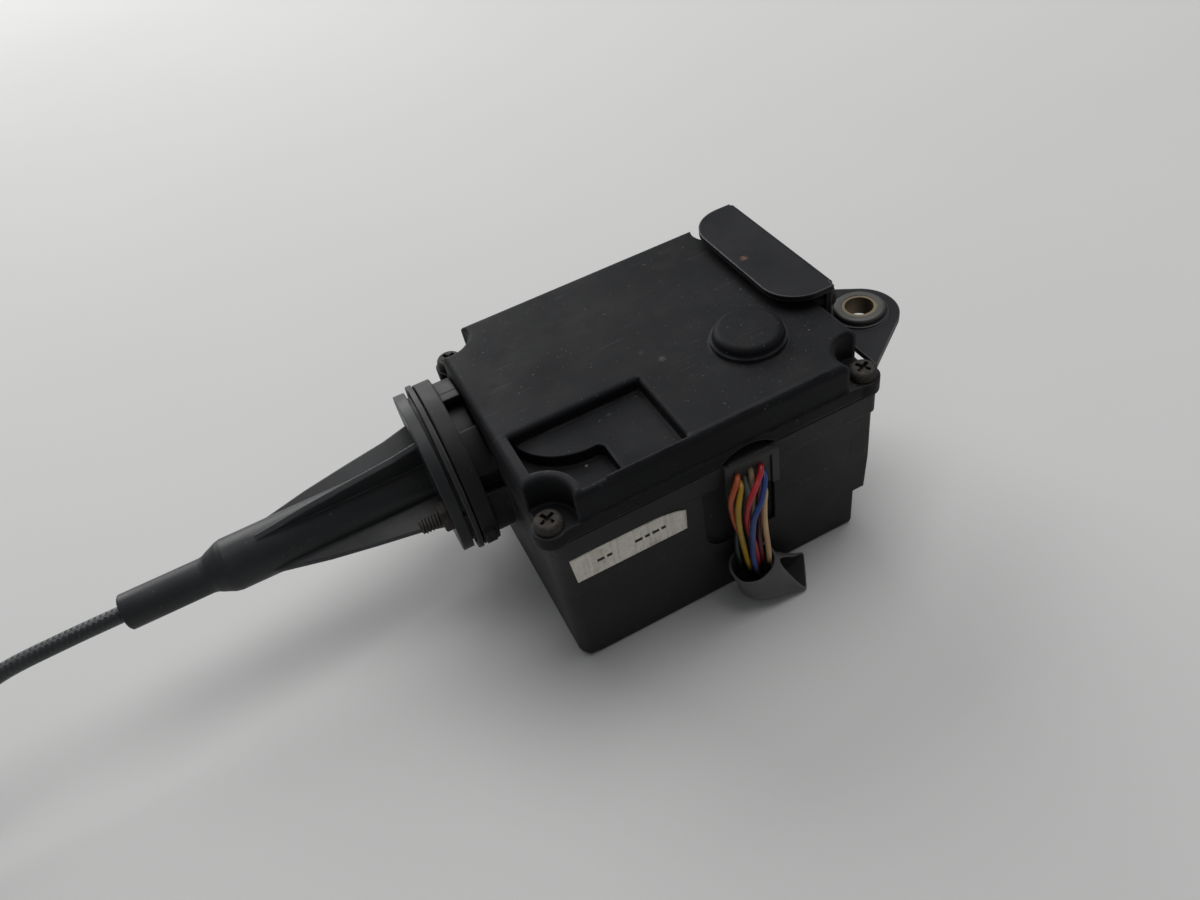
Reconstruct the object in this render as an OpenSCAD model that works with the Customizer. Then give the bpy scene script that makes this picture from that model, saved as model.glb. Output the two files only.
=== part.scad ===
// Electric cruise control servo: a two-piece moulded case with a finned cable cap,
// a steel mounting bracket, a motor, worm and clutch drive, and a cable drum.
// Millimetres. The origin is under the middle of the case, on its flat bottom.
// +X points to the bracket, -X to the cable, -Y to the wires, +Z up.

/* [Case] */
// Length of the case along the cable
case_l = 105; // [98:0.5:115]
// Width of the case
case_w = 88; // [84:0.5:96]
// Height of the seam between the two shells
seam_z = 56.5; // [55.5:0.5:60]
// Height of the top face
case_h = 71.3; // [70:0.1:76]
// Wall thickness of the mouldings
wall = 2.4; // [1.8:0.1:3]
// Radius of the upright corners at the cable end
corner_r = 6; // [3:0.5:8]
// Radius of the upright corners at the bracket end
far_corner_r = 2.4; // [1.5:0.1:4]
// Height of the rim band below the seam
band_h = 7.2; // [5:0.2:9]
// How far the rim band stands proud
band_proud = 0.6; // [0.3:0.1:1]
// Lean of the drafted walls, in degrees
draft = 1.3; // [0:0.1:2]
// Height of the step at the bracket end
step_h = 15.8; // [12:0.2:17]
// Depth of the step at the bracket end
step_d = 6.2; // [4:0.2:7]
// Height of the foot lip
lip_h = 1.3; // [0.8:0.1:2]

/* [Cover] */
// Thickness of the cover's screw ledge
ledge_h = 4.8; // [3.5:0.1:6]
// Radius of the scallop above each cover screw
scallop_r = 8; // [7:0.1:9]
// Radius of the lobe round each cover screw
lobe_r = 4.9; // [4.4:0.1:5.6]
// Rounding of the cover's top edges
top_r = 2.4; // [1:0.1:3]
// Depth of the wide level of the recess
recess_d1 = 4.5; // [3:0.1:5.5]
// Depth of the pocket in the recess
recess_d2 = 8.8; // [7:0.1:9]
// Foot diameter of the bearing boss
boss_d = 22.4; // [18:0.2:24]
// Height of the bearing boss
boss_h = 4.5; // [3:0.1:6]

/* [Cover screws] */
// Distance of the screws along the case
screw_dx = 99.2; // [96:0.2:101]
// Distance of the screws across the case
screw_dy = 80; // [78:0.2:82]
// Diameter of the cover screws
screw_d = 4; // [3:0.1:4.4]
// Diameter of their pan heads
head_d = 8; // [7:0.1:8.4]

/* [Cable end] */
// Height of the cable's axis
cable_z = 41.5; // [40:0.5:43]
// Sideways place of the cable's axis
cable_y = 18.5; // [17:0.5:20]
// Diameter of the case's round flange
flange_d = 55; // [52:0.5:58]
// Length of the neck between case and flange
neck_l = 6.2; // [5:0.1:9]
// Thickness of the case's round flange
flange_t = 5.2; // [4:0.1:6]
// Diameter of the cap's flange
cap_flange_d = 53.2; // [50:0.2:56]
// Length of the cap from its flange to the end of its tube
cap_l = 100; // [90:0.2:110]
// Diameter of the cap's round core
cap_core_d = 17; // [15:0.2:19]
// Diameter of the tube at the cap's end
cap_tube_d = 11.4; // [10:0.2:13]
// Outer diameter of the cable's sheath
sheath_d = 5.2; // [4.6:0.1:6]
// Diameter of the stud beside the cap
stud_d = 5; // [4:0.5:6]

/* [Bracket] */
// Thickness of the bracket's steel
plate_t = 1.8; // [1.2:0.1:2.5]
// Gap between the case and the bracket's end plate
bracket_gap = 3.7; // [2:0.1:5]
// Height of the ear's upper face
ear_z = 60; // [56:0.5:62]
// Bore of the sleeve in the ear
sleeve_bore = 8.6; // [6:0.1:9]

/* [Drive] */
// Tooth module of the gears
gear_m = 1; // [1:0.01:1.02]
// Teeth on the drum's gear
drum_teeth = 60; // [58:2:60]
// Teeth on the pinion
pinion_teeth = 29; // [27:2:29]
// Teeth on the worm wheel
wheel_teeth = 30; // [28:2:30]
// Radius at which the cable's core winds on the drum
wind_r = 20; // [19:0.1:20.5]
// Diameter of the cable's core
core_d = 1.5; // [1.2:0.1:1.8]
// Diameter of the drum and clutch shafts
shaft_d = 6; // [5:0.1:7]
// Diameter of the motor's can
motor_d = 26; // [24:0.5:26]
// Running clearance of a shaft in its bush, on the radius
run_fit = 0.05; // [0.02:0.01:0.09]
// Gap left between parts that pass each other
pass_gap = 0.4; // [0.3:0.05:0.6]

/* [Hidden] */
eps = 0.01;
$fn = 64;

// Case, derived
hx = case_l / 2;
hy = case_w / 2;
body_hx = hx - band_proud;
body_hy = hy - band_proud;
band_z = seam_z - band_h;
in_hx = body_hx - wall;
in_hy = body_hy - wall;
floor_z = wall + 0.2;
roof_z = case_h - wall;
ledge_z = seam_z + ledge_h;
sx = screw_dx / 2;
sy = screw_dy / 2;
screw_tip_z = band_z + 0.9;
step_x = hx - step_d;

// Cable end, derived
neck_x = -hx - neck_l;
flange_x = neck_x - flange_t;
spacer_t = 3.4;
cap_x = flange_x - spacer_t;
cap_flange_t = 3.5;
cap_nose_x = cap_x - cap_flange_t;
cap_end_x = cap_x - cap_l;
spigot_r = 17.8;
neck_core_r = 21;
pad_r = flange_d / 2 - 2;
fin_angles = [18, 108, 198, 288];
stud_angle = 175;
stud_orbit = 22;
shoulder_x = cap_end_x + 26;
sheath_seat_x = cap_end_x + 26.5;

// Shaft places, derived
drum_x = -15;
drum_y = cable_y - wind_r;
mesh_r = gear_m * (drum_teeth + pinion_teeth) / 2;
mesh_angle = -21.1;
clutch_x = drum_x + mesh_r * cos(mesh_angle);
clutch_y = drum_y + mesh_r * sin(mesh_angle);
shaft_r = shaft_d / 2;
bush_r = shaft_r + 2;
gear_z = 33.6;
gear_h = 4;
wheel_z = 14;
wheel_h = 8;
wheel_mid_z = wheel_z + wheel_h / 2;
wheel_pitch_r = gear_m * wheel_teeth / 2;
worm_pitch_r = 5;
worm_x = clutch_x - wheel_pitch_r - worm_pitch_r;
motor_z = wheel_mid_z;
motor_shaft_r = 1.6;
armature_t = 1.5;
armature_travel = 0.4;
rotor_z = wheel_z + wheel_h + 2.6;
rotor_t = 2.6;
cup_z = rotor_z + rotor_t + pass_gap;
cup_h = gear_z - 1 - cup_z;
hub_r = shaft_r + 3;
drum_flange_r = wind_r + 3;
drum_top_z = cable_z + 3.7;
slug_angle = 30;
slug_r = 2;
board_z = 54;
board_t = 1.6;

// Shell details, derived
drum_shaft_z = 4;
lower_bearing_z = 3.4;
lower_bearing_h = 5.4;
gasket_w = 1.5;
gasket_d = 1.2;
lug_x = neck_x + 1.1;
window_x0 = 2;
window_x1 = 15.4;
window_z = 45;
scoop_d = 2.4;
recess_x0 = -48.6;
recess_x1 = -7.6;
recess_y0 = -41.9;
recess_y1 = -13;
pocket_x1 = -26;
pocket_c = [-30, -8];
pocket_r = 17.7;
upper_bearing_z = roof_z - 3.2;
upper_bearing_h = 6;
peg_y = -11;

// Bracket, derived
bracket_screw_y = [-9.5, 31];
bracket_screw_z = roof_z - 1.5;
plate_x = hx + bracket_gap;
tab_top_z = case_h + 4.7;
ear_c = [hx + 14.7, -15.3];
ear_hole_r = sleeve_bore / 2 + 3.2;
tab_bend_r = 1.4;

// Motor, coil and board places, derived
motor_y0 = in_hy - 30;
motor_l = 26;
worm_end_y = -30.5;
clamp_foot = motor_d / 2 + 5.4;
clamp_y = motor_y0 + 9;
clamp_z = 5;
coil_arm = 20.5;
coil_angles = [-45, 45];
board_hole_y = in_hy - 3;
board_holes = [[-34, -board_hole_y], [-34, board_hole_y], [10, board_hole_y]];
header_d = 5.6;
relay_h = roof_z - board_z - board_t - 2.3;
capacitor_h = roof_z - board_z - board_t - 3.3;

// Worm and wheel, derived
wheel_hub_z = lower_bearing_z + lower_bearing_h + pass_gap;
worm_l = 18;
worm_lead = PI * gear_m;
worm_root_r = worm_pitch_r - 1.2 * gear_m;
worm_tip_r = worm_pitch_r + 0.8 * gear_m;
worm_steps = 18;
drive_pin_r = 1.2;
drive_pin_orbit = 10;

// Wires, their grommet and their sleeve
grommet_x = window_x0 - 1.6;
grommet_w = window_x1 - window_x0 + 3.2;
wire_d = 1.7;
wire_holes = [[4.6, 51.6], [4.8, 48.8], [7, 50.4], [7.2, 47.6], [8.8, 52.4], [12.2, 52.2],
    [13.2, 49.4], [11, 47], [10.2, 49.6]];
wire_in_y = 6.4 - in_hy;
wire_routes = [
    [[3.2, -46.6, 51.8], [0.6, -48.2, 49.2], [-0.4, -48.4, 45.6], [0, -48.2, 41], [0.9, -47.9, 35],
        [2.6, -47.6, 28], [3.8, -47, 19], [3.8, -47.4, 11]],
    [[3.9, -47, 49.4], [2.4, -48.8, 47.8], [0.9, -50.2, 45.2], [0.4, -50.6, 40.8], [1, -50.2, 33],
        [2.8, -49, 21.7], [3.6, -49.2, 15], [4.2, -49.4, 9]],
    [[5.4, -47.8, 46], [4.7, -47.4, 41], [4.8, -47.6, 33], [5.2, -47.6, 25], [5.8, -47.4, 17],
        [5.9, -47.6, 9.4]],
    [[7.1, -45.4, 44.6], [5, -45, 39], [3, -45.2, 31], [1.8, -46, 23], [1.6, -46.9, 17], [2, -47.2, 14]],
    [[8, -46, 51.2], [7.5, -47, 48.8], [7.5, -47.2, 44], [7.4, -46.6, 38], [7.4, -46.6, 30],
        [8, -46.8, 22], [8.6, -47, 17], [8.8, -47.2, 13]],
    [[10.9, -46.6, 51.6], [9, -48.2, 50], [6.6, -49.8, 48.6], [4.2, -50.8, 46], [3.2, -50.6, 40.8],
        [3.8, -49.6, 33], [5.6, -49.6, 25], [6.3, -49.5, 17], [6.2, -49.5, 9]],
    [[11.5, -47.2, 48.2], [9.7, -49.4, 45.8], [7.6, -50.9, 43.2], [5, -52, 40.8], [3.9, -52.2, 36],
        [4, -51.4, 28.8], [4.3, -50.6, 20.6], [4.8, -51, 14], [5, -51.2, 9]],
    [[11.6, -46.8, 43.2], [10.4, -48.4, 39.6], [9.4, -49.7, 36], [9.1, -50.4, 31], [9.4, -50.6, 25],
        [9.8, -50.4, 18.6], [9.6, -50.8, 9]],
    [[9.6, -46.8, 46], [9.4, -46.9, 39], [9.2, -47.2, 34], [7.7, -49, 26], [8, -49.2, 17], [7.9, -49.4, 9]]];
sleeve_mouth = [[12.4, -50, 16.2], [10.6, -45.2, 17.8], [4.6, -44.4, 18.8], [-0.6, -45.4, 18.6],
    [-3.2, -49.2, 17.4], [-1.6, -53, 14.4], [3.6, -54.8, 13.2], [9.4, -53.6, 14.4]];
sleeve_belly = [[13.6, -51, 11], [12, -46.4, 10.8], [7.4, -45, 7], [3.4, -46, 3.6],
    [1.2, -49.2, 3.2], [3.4, -53.6, 2.6], [8, -56.6, 5], [12.6, -55.2, 10]];
sleeve_end = [[15.4, -54, 9.4], [23.4, -45.6, 9], [25.6, -45, 5], [24.4, -46.4, 1.2],
    [22.4, -49.8, 0.8], [20.8, -53.4, 0.8], [19, -56.6, 1.6], [17, -56.6, 6]];

// Cap and cable
fin_t = 2;
fin_profile = [[0, 19.5], [8.2, 17.3], [22.7, 15], [36.8, 12.5], [54, cap_core_d / 2], [54, 5], [0, 5]];
sheath_r = sheath_d / 2;
coil_c = [-276, 2];
coil_r = 28.6;
tail_x = coil_c[0] - coil_r;
ferrule_y = 40;
ferrule_l = 16;
ferrule_z = 4;
sheath_route = [[sheath_seat_x, cable_y, cable_z], [cap_end_x, cable_y, cable_z], [-185, 18.5, 41.4],
    [-202, 18.4, 40.6], [-212, 17, 38.6], [-221, 13.4, 34.2], [-230, 7.6, 28], [-238, 0.4, 21],
    [-245, -7, 14.8], [-251.4, -13.8, 10.2], [-257.6, -19.9, 7.8], [-266.2, -24.9, 7.8], [-276, -26.6, 7.8]];
tail_route = [[tail_x, 2, 2.6], [tail_x, 9, 2.6], [tail_x, 18, 4], [tail_x, 32, 4], [tail_x, 48, 4]];
core_out = 38;

// Return spring
spring_r = hub_r + 1.7;
spring_wire_r = 0.5;
spring_turns = 2.1;
spring_a0 = 300;
spring_route = concat(
    [[spring_r, 0, -2.2], [spring_r, 0, 0.9]],
    [for (i = [1 : 36])
        let (a = -360 * spring_turns * i / 36)
        [spring_r * cos(a), spring_r * sin(a), 1 + 2.6 * i / 36]]);

// Rounded rectangle from x0 to x1, with its own radii at the two ends
module case_outline(x0, x1, half_w, r0, r1) {
    translate([x0 + r0, -half_w])
        square([x1 - r1 - x0 - r0, 2 * half_w]);
    translate([x0, -half_w + r0])
        square([r0 + eps, 2 * half_w - 2 * r0]);
    translate([x1 - r1 - eps, -half_w + r1])
        square([r1 + eps, 2 * half_w - 2 * r1]);
    for (s = [-1, 1]) {
        translate([x0 + r0, s * (half_w - r0)])
            circle(r0);
        translate([x1 - r1, s * (half_w - r1)])
            circle(r1);
    }
}

module at_screws() {
    for (ix = [-1, 1])
        for (iy = [-1, 1])
            translate([ix * sx, iy * sy, 0])
                children();
}

// Local z runs along +X through the cable's axis, local x along +Y
module on_cable() {
    translate([0, cable_y, cable_z])
        rotate([90, 0, 90])
            children();
}

module tube(r_out, r_in, h) {
    difference() {
        cylinder(h = h, r = r_out);
        translate([0, 0, -1])
            cylinder(h = h + 2, r = r_in);
    }
}

module sector(r_in, r_out, a0, a1, z0, z1) {
    rotate([0, 0, a0])
        rotate_extrude(angle = a1 - a0)
            translate([r_in, z0])
                square([r_out - r_in, z1 - z0]);
}

// Takes an outside edge of length len along +X down to a radius
module edge_cut(len, r) {
    rotate([90, 0, 90])
        difference() {
            translate([-r, -r, 0])
                cube([2 * r, 2 * r, len]);
            translate([-r, -r, -1])
                cylinder(h = len + 2, r = r);
        }
}

// A ring of straight-flanked teeth on the pitch radius m * n / 2
function tooth_ring(m, n, half_tip, half_root, add, ded) =
    let (rp = m * n / 2)
    [for (i = [0 : n - 1])
        let (a = 360 * i / n, ri = rp - ded, ro = rp + add)
        each [
            [ri * cos(a - half_root / ri * 180 / PI), ri * sin(a - half_root / ri * 180 / PI)],
            [ro * cos(a - half_tip / ro * 180 / PI), ro * sin(a - half_tip / ro * 180 / PI)],
            [ro * cos(a + half_tip / ro * 180 / PI), ro * sin(a + half_tip / ro * 180 / PI)],
            [ri * cos(a + half_root / ri * 180 / PI), ri * sin(a + half_root / ri * 180 / PI)]
        ]];

// Swept tube along a route, with rings held square to it
function unit(v) = v / norm(v);
function along(pts, i) =
    i == 0 ? unit(pts[1] - pts[0]) :
    i == len(pts) - 1 ? unit(pts[i] - pts[i - 1]) :
    unit(unit(pts[i + 1] - pts[i]) + unit(pts[i] - pts[i - 1]));
function across(t, n) = unit(n - (n * t) * t);
function first_side(t) = across(t, abs(t[2]) > 0.8 ? [1, 0, 0] : [0, 0, 1]);
function frames(pts, i = 0, last = undef) =
    i == len(pts) ? [] :
    let (t = along(pts, i),
        n = i == 0 ? first_side(t) : across(t, last))
    concat([[t, n, cross(t, n)]], frames(pts, i + 1, n));
function spline_point(a, b, c, d, t) =
    0.5 * ((2 * b) + (c - a) * t + (2 * a - 5 * b + 4 * c - d) * t * t
        + (3 * b - a - 3 * c + d) * t * t * t);
function smooth_route(pts, k) = concat(
    [for (i = [0 : len(pts) - 2])
        for (j = [0 : k - 1])
            spline_point(
                pts[max(i - 1, 0)], pts[i], pts[i + 1], pts[min(i + 2, len(pts) - 1)], j / k)],
    [pts[len(pts) - 1]]);

module swept(pts, r, sides) {
    fr = frames(pts);
    n = len(pts);
    rings = [for (i = [0 : n - 1])
        for (s = [0 : sides - 1])
            pts[i] + r * (cos(360 * s / sides) * fr[i][1] + sin(360 * s / sides) * fr[i][2])];
    skin = [for (i = [0 : n - 2])
        for (s = [0 : sides - 1])
            [i * sides + s, (i + 1) * sides + s,
                (i + 1) * sides + (s + 1) % sides, i * sides + (s + 1) % sides]];
    near_end = [for (s = [0 : sides - 1]) s];
    far_end = [for (s = [sides - 1 : -1 : 0]) (n - 1) * sides + s];
    polyhedron(points = rings, faces = concat(skin, [near_end], [far_end]), convexity = 8);
}

// Lower case
module housing_shell() {
    difference() {
        union() {
            translate([0, 0, lip_h])
                linear_extrude(seam_z - lip_h)
                    case_outline(-body_hx, body_hx, body_hy, corner_r, far_corner_r);
            linear_extrude(lip_h + eps)
                case_outline(-body_hx + 0.6, body_hx - 0.6, body_hy - 1.6, corner_r, far_corner_r);
        }
        // Drafted long walls and bracket-end wall
        for (s = [-1, 1])
            translate([0, s * body_hy, band_z + 1])
                rotate([-s * draft, 0, 0])
                    translate([-hx - 5, s > 0 ? 0 : -10, -band_z - 10])
                        cube([case_l + 10, 10, band_z + 10]);
        translate([body_hx, 0, band_z + 1])
            rotate([0, 2 * draft, 0])
                translate([0, -hy - 5, -band_z - 10])
                    cube([10, case_w + 10, band_z + 10]);
        // Step at the bracket end, with rounded edges
        translate([step_x, -hy - 5, -5])
            cube([20, case_w + 10, step_h + 5]);
        translate([step_x, hy + 5, 0])
            rotate([0, 90, -90])
                edge_cut(case_w + 10, 4);
    }
    translate([0, 0, band_z])
        linear_extrude(band_h)
            case_outline(-hx, hx, hy, corner_r, far_corner_r);
}

module housing_cavity() {
    translate([0, 0, step_h + wall])
        linear_extrude(seam_z)
            case_outline(-in_hx, in_hx - 1, in_hy, corner_r - wall + 0.6, 2);
    translate([0, 0, floor_z])
        linear_extrude(step_h + wall)
            case_outline(-in_hx, step_x - wall, in_hy, corner_r - wall + 0.6, 2);
}

// Posts under the cover screws, kept inside the band's outline
module screw_posts() {
    intersection() {
        union() {
            at_screws()
                translate([0, 0, band_z - 14])
                    cylinder(h = band_h + 14, r = 6.2);
            // Cone that runs each post out into the corner
            at_screws()
                translate([0, 0, band_z - 20])
                    cylinder(h = 6 + eps, r1 = 1, r2 = 6.2);
        }
        linear_extrude(seam_z)
            case_outline(-body_hx, body_hx - 0.5, body_hy - 0.2, corner_r, far_corner_r);
    }
}

module neck() {
    on_cable() {
        translate([0, 0, flange_x])
            cylinder(h = flange_t, r = flange_d / 2);
        translate([0, 0, neck_x - eps])
            cylinder(h = neck_l + 1.2, r = neck_core_r);
        for (a = [[-12, 84], [120, 153], [167, 222], [240, 268], [284, 320]])
            sector(neck_core_r - 1, pad_r, a[0], a[1], neck_x - eps, -hx + 1);
        // Thin roof plate over the first pocket
        sector(pad_r - 2.4, pad_r - 0.1, 78, 92, neck_x - eps, -hx + 1);
        // Square foot under the flange
        rotate([0, 0, 200])
            translate([flange_d / 2 - 4, -3.5, flange_x + 0.4])
                cube([5.2, 7, flange_t - 1.8]);
    }
}

module housing() {
    color([0.12, 0.12, 0.125])
    difference() {
        union() {
            difference() {
                housing_shell();
                housing_cavity();
            }
            screw_posts();
            neck();
            // Thicker wall behind the wire scoop
            translate([-9, -in_hy - 0.5, floor_z - eps])
                cube([29, 3.5, seam_z - floor_z]);
            // Tower of the drum shaft, with cross ribs
            translate([drum_x, drum_y, 0])
                drum_tower();
            // Seat of the clutch shaft's lower bearing
            translate([clutch_x, clutch_y, wall])
                cylinder(h = lower_bearing_z + lower_bearing_h - wall, r = bush_r + 2.5);
            motor_cradle();
            coil_posts();
            board_bosses();
            spring_peg();
        }
        // Gasket groove in the rim
        translate([0, 0, seam_z - gasket_d])
            linear_extrude(gasket_d + 1)
                gasket_shape(0);
        at_screws()
            translate([0, 0, screw_tip_z - 0.4])
                cylinder(h = 40, r = screw_d / 2);
        // Space above the seam belongs to the cover
        translate([-hx - pass_gap, -hy - 10, seam_z])
            cube([case_l + 20, case_w + 20, 40]);
        at_screws()
            translate([0, 0, seam_z])
                cylinder(h = 40, r = lobe_r + pass_gap);
        neck_bore();
        translate([drum_x, drum_y, drum_shaft_z])
            cylinder(h = 60, r = shaft_r);
        translate([clutch_x, clutch_y, lower_bearing_z])
            cylinder(h = 60, r = bush_r);
        wire_window();
        wire_scoop();
        // Bore of the worm shaft's bearing
        translate([worm_x, worm_end_y - 5, motor_z])
            rotate([-90, 0, 0])
                cylinder(h = 12, r = motor_shaft_r + 1.4);
    }
}

module drum_tower() {
    cylinder(h = gear_z - 0.4 - pass_gap, r = shaft_r + 3.4);
    for (a = [20, 110, 200, 290])
        rotate([0, 0, a])
            rotate([90, 0, 0])
                translate([0, 0, -0.9])
                    linear_extrude(1.8)
                        polygon([[0, 0], [shaft_r + 9, 0], [shaft_r + 9, floor_z + 1],
                        [shaft_r + 3, gear_z - 6], [0, gear_z - 6]]);
}

// Cut for the cap's spigot and lugs, the cable's core and the stud
module neck_bore() {
    on_cable() {
        translate([0, 0, flange_x - 1])
            cylinder(h = flange_t + neck_l - 1, r = spigot_r + 0.2);
        translate([0, 0, lug_x - 0.2])
            cylinder(h = 3.9, r = spigot_r + 2);
        for (a = [60, 240])
            rotate([0, 0, a])
                translate([0, -5.2, flange_x - 1])
                    cube([spigot_r + 1.8, 10.4, 8]);
        translate([0, 0, -hx - 3])
            cylinder(h = 12, r = 5);
        rotate([0, 0, stud_angle])
            translate([stud_orbit, 0, flange_x - 1])
                cylinder(h = flange_t + 5, r = stud_d / 2);
    }
}

module gasket_shape(c) {
    difference() {
        case_outline(-hx + 0.9 + c, hx - 0.9 - c, hy - 0.9 - c, corner_r - 0.9, far_corner_r - 0.6);
        case_outline(-hx + 0.9 + gasket_w - c, hx - 0.9 - gasket_w + c, hy - 0.9 - gasket_w + c,
            corner_r - 1.8, 1);
        at_screws()
            circle(screw_d / 2 + 0.9 + c);
    }
    intersection() {
        at_screws()
            difference() {
                circle(screw_d / 2 + 0.9 + gasket_w - c);
                circle(screw_d / 2 + 0.9 + c);
            }
        case_outline(-hx + 0.9 + gasket_w - c, hx - 0.9 - gasket_w + c, hy - 0.9 - gasket_w + c,
            corner_r - 1.8, 1);
    }
}

module cover_gasket() {
    color([0.08, 0.08, 0.08])
    translate([0, 0, seam_z - gasket_d])
        difference() {
            linear_extrude(gasket_d)
                gasket_shape(0.05);
            translate([window_x0 - 1, -hy - 5, -1])
                cube([window_x1 - window_x0 + 2, 10, 5]);
        }
}

// Window of the wire grommet, open at the seam
module wire_window() {
    translate([window_x0, -hy - 5, window_z])
        cube([window_x1 - window_x0, 12, 30]);
}

// Shallow scoop that lets the wires bend down
module wire_scoop() {
    translate([0, -body_hy + scoop_d, 0])
        rotate([90, 0, 0])
            linear_extrude(10) {
                translate([-6.2, 29])
                    square([23.4, band_z - 29.3]);
                translate([0.4, 22.4])
                    square([16.8, 7]);
                translate([0.4, 29])
                    circle(6.6);
            }
}

// Two ribs that carry the motor
module motor_cradle() {
    difference() {
        for (y = [motor_y0 + 2, motor_y0 + motor_l - 4])
            translate([worm_x - 9, y, wall])
                cube([18, 2, motor_z - motor_d / 2 + 2.6 - wall]);
        translate([worm_x, motor_y0 - 5, motor_z])
            rotate([-90, 0, 0])
                cylinder(h = motor_l + 10, r = motor_d / 2 + 0.02);
    }
    for (s = [-1, 1])
        translate([worm_x + s * clamp_foot, clamp_y + 4, wall])
            cylinder(h = clamp_z - wall, r = 3.6);
    // Post of the worm shaft's end bearing
    translate([worm_x - 4.5, worm_end_y - 4.6, wall])
        cube([9, 4.6, motor_z + 4.5 - wall]);
}

// Posts under the ears of the clutch magnet's cup
module coil_posts() {
    for (a = coil_angles)
        translate([clutch_x, clutch_y, wall])
            rotate([0, 0, a])
                translate([coil_arm, 0, 0])
                    cylinder(h = cup_z + cup_h - 1.5 - wall, r = 2.8);
}

// Bosses on the long walls under the circuit board
module board_bosses() {
    for (p = board_holes)
        difference() {
            translate([p[0], p[1], board_z - 12])
                cylinder(h = 12, r = 3.5);
            translate([p[0], p[1], board_z - 9])
                cylinder(h = 12, r = 1.25);
        }
}

// Peg on the cable-end wall that holds the spring's fixed leg
module spring_peg() {
    translate([-in_hx - 0.6, peg_y - 4, drum_top_z + 0.9])
        cube([9.6, 4, 3.2]);
    translate([-in_hx - 0.6, peg_y - 2.8, drum_top_z - 8])
        cube([3, 1.6, 9]);
}

// Upper case
module scallop_cut() {
    rotate_extrude()
        difference() {
            square([scallop_r + 1.6, case_h - ledge_z + 1]);
            translate([scallop_r + 1.6, case_h - ledge_z - 1.6])
                circle(1.6);
            translate([scallop_r, -1])
                square([3, case_h - ledge_z - 1.6 + 1]);
        }
}

module recess_area(grow) {
    difference() {
        translate([recess_x0 - grow, recess_y0 - grow])
            square([recess_x1 - recess_x0 + 2 * grow, recess_y1 - recess_y0 + 2 * grow]);
        translate([-sx, -sy])
            circle(scallop_r + 2.6 - grow);
    }
}

// Pocket that follows the round part under it
module pocket_area(grow) {
    difference() {
        translate([recess_x0 - grow, recess_y0 - grow])
            square([pocket_x1 - recess_x0 + 2 * grow, recess_y1 - recess_y0 + grow]);
        translate(pocket_c)
            circle(pocket_r - grow);
        translate([-sx, -sy])
            circle(scallop_r + 2.6 - grow);
        if (grow == 0)
            difference() {
                translate([pocket_x1 - 2.6, pocket_c[1] - pocket_r - 2.4])
                    square([3, 3]);
                translate([pocket_x1 - 2.6, pocket_c[1] - pocket_r - 2.4])
                    circle(2.6);
            }
    }
}

module cover_outer() {
    translate([0, 0, seam_z])
        linear_extrude(ledge_h) {
            case_outline(-hx, hx, hy, corner_r - 1, far_corner_r);
            at_screws()
                circle(lobe_r);
        }
    difference() {
        translate([-hx, -hy + 0.5, seam_z + 1])
            cube([case_l, case_w - 1, case_h - seam_z - 1]);
        for (s = [-1, 1])
            translate([-hx - 1, s * (hy - 0.5), case_h])
                rotate([s > 0 ? 0 : 90, 0, 0])
                    edge_cut(case_l + 2, top_r);
        for (s = [0, 1])
            translate([s > 0 ? hx : -hx, s > 0 ? hy : -hy, case_h])
                rotate([0, 0, s > 0 ? -90 : 90])
                    edge_cut(case_w, top_r);
        at_screws()
            translate([0, 0, ledge_z])
                scallop_cut();
    }
    // Bearing boss
    translate([clutch_x, clutch_y, roof_z])
        rotate_extrude()
            boss_profile();
    // Fine ridge along the near edge
    translate([-32, -hy + 1.5, case_h - 1.6])
        cube([68, 1.2, 1.9]);
    // Bosses the bracket stands on
    for (y = bracket_screw_y)
        translate([hx - 1, y, bracket_screw_z])
            rotate([0, 90, 0])
                cylinder(h = bracket_gap + 1, r = 3.8);
}

module boss_profile() {
    r = boss_d / 2;
    translate([0, 0])
        square([r, wall + boss_h - 3]);
    polygon([[0, 0], [r, wall], [r - 0.9, wall + boss_h - 2.2], [0, wall + boss_h - 2.2]]);
    square([r - 3.1, wall + boss_h]);
    translate([r - 3.1, wall + boss_h - 2.2])
        circle(2.2);
}

module cover_cavity() {
    difference() {
        translate([0, 0, seam_z - 1])
            linear_extrude(roof_z - seam_z + 1)
                difference() {
                    case_outline(-in_hx, in_hx, in_hy, 3, 3);
                    at_screws()
                        circle(6.2);
                }
        at_screws()
            translate([0, 0, ledge_z - wall])
                cylinder(h = 30, r = scallop_r + wall);
        translate([0, 0, case_h - recess_d1 - wall])
            linear_extrude(30)
                recess_area(wall);
        translate([0, 0, case_h - recess_d2 - 2])
            linear_extrude(30)
                pocket_area(wall);
        // Seat of the upper bearing
        translate([clutch_x, clutch_y, roof_z - 3.4])
            cylinder(h = 10, r = bush_r + 2.4);
        // Nut pockets' walls behind the bracket screws
        for (y = bracket_screw_y)
            translate([in_hx - 6, y - 4, bracket_screw_z - 4.5])
                cube([10, 8, 12]);
    }
}

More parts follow.
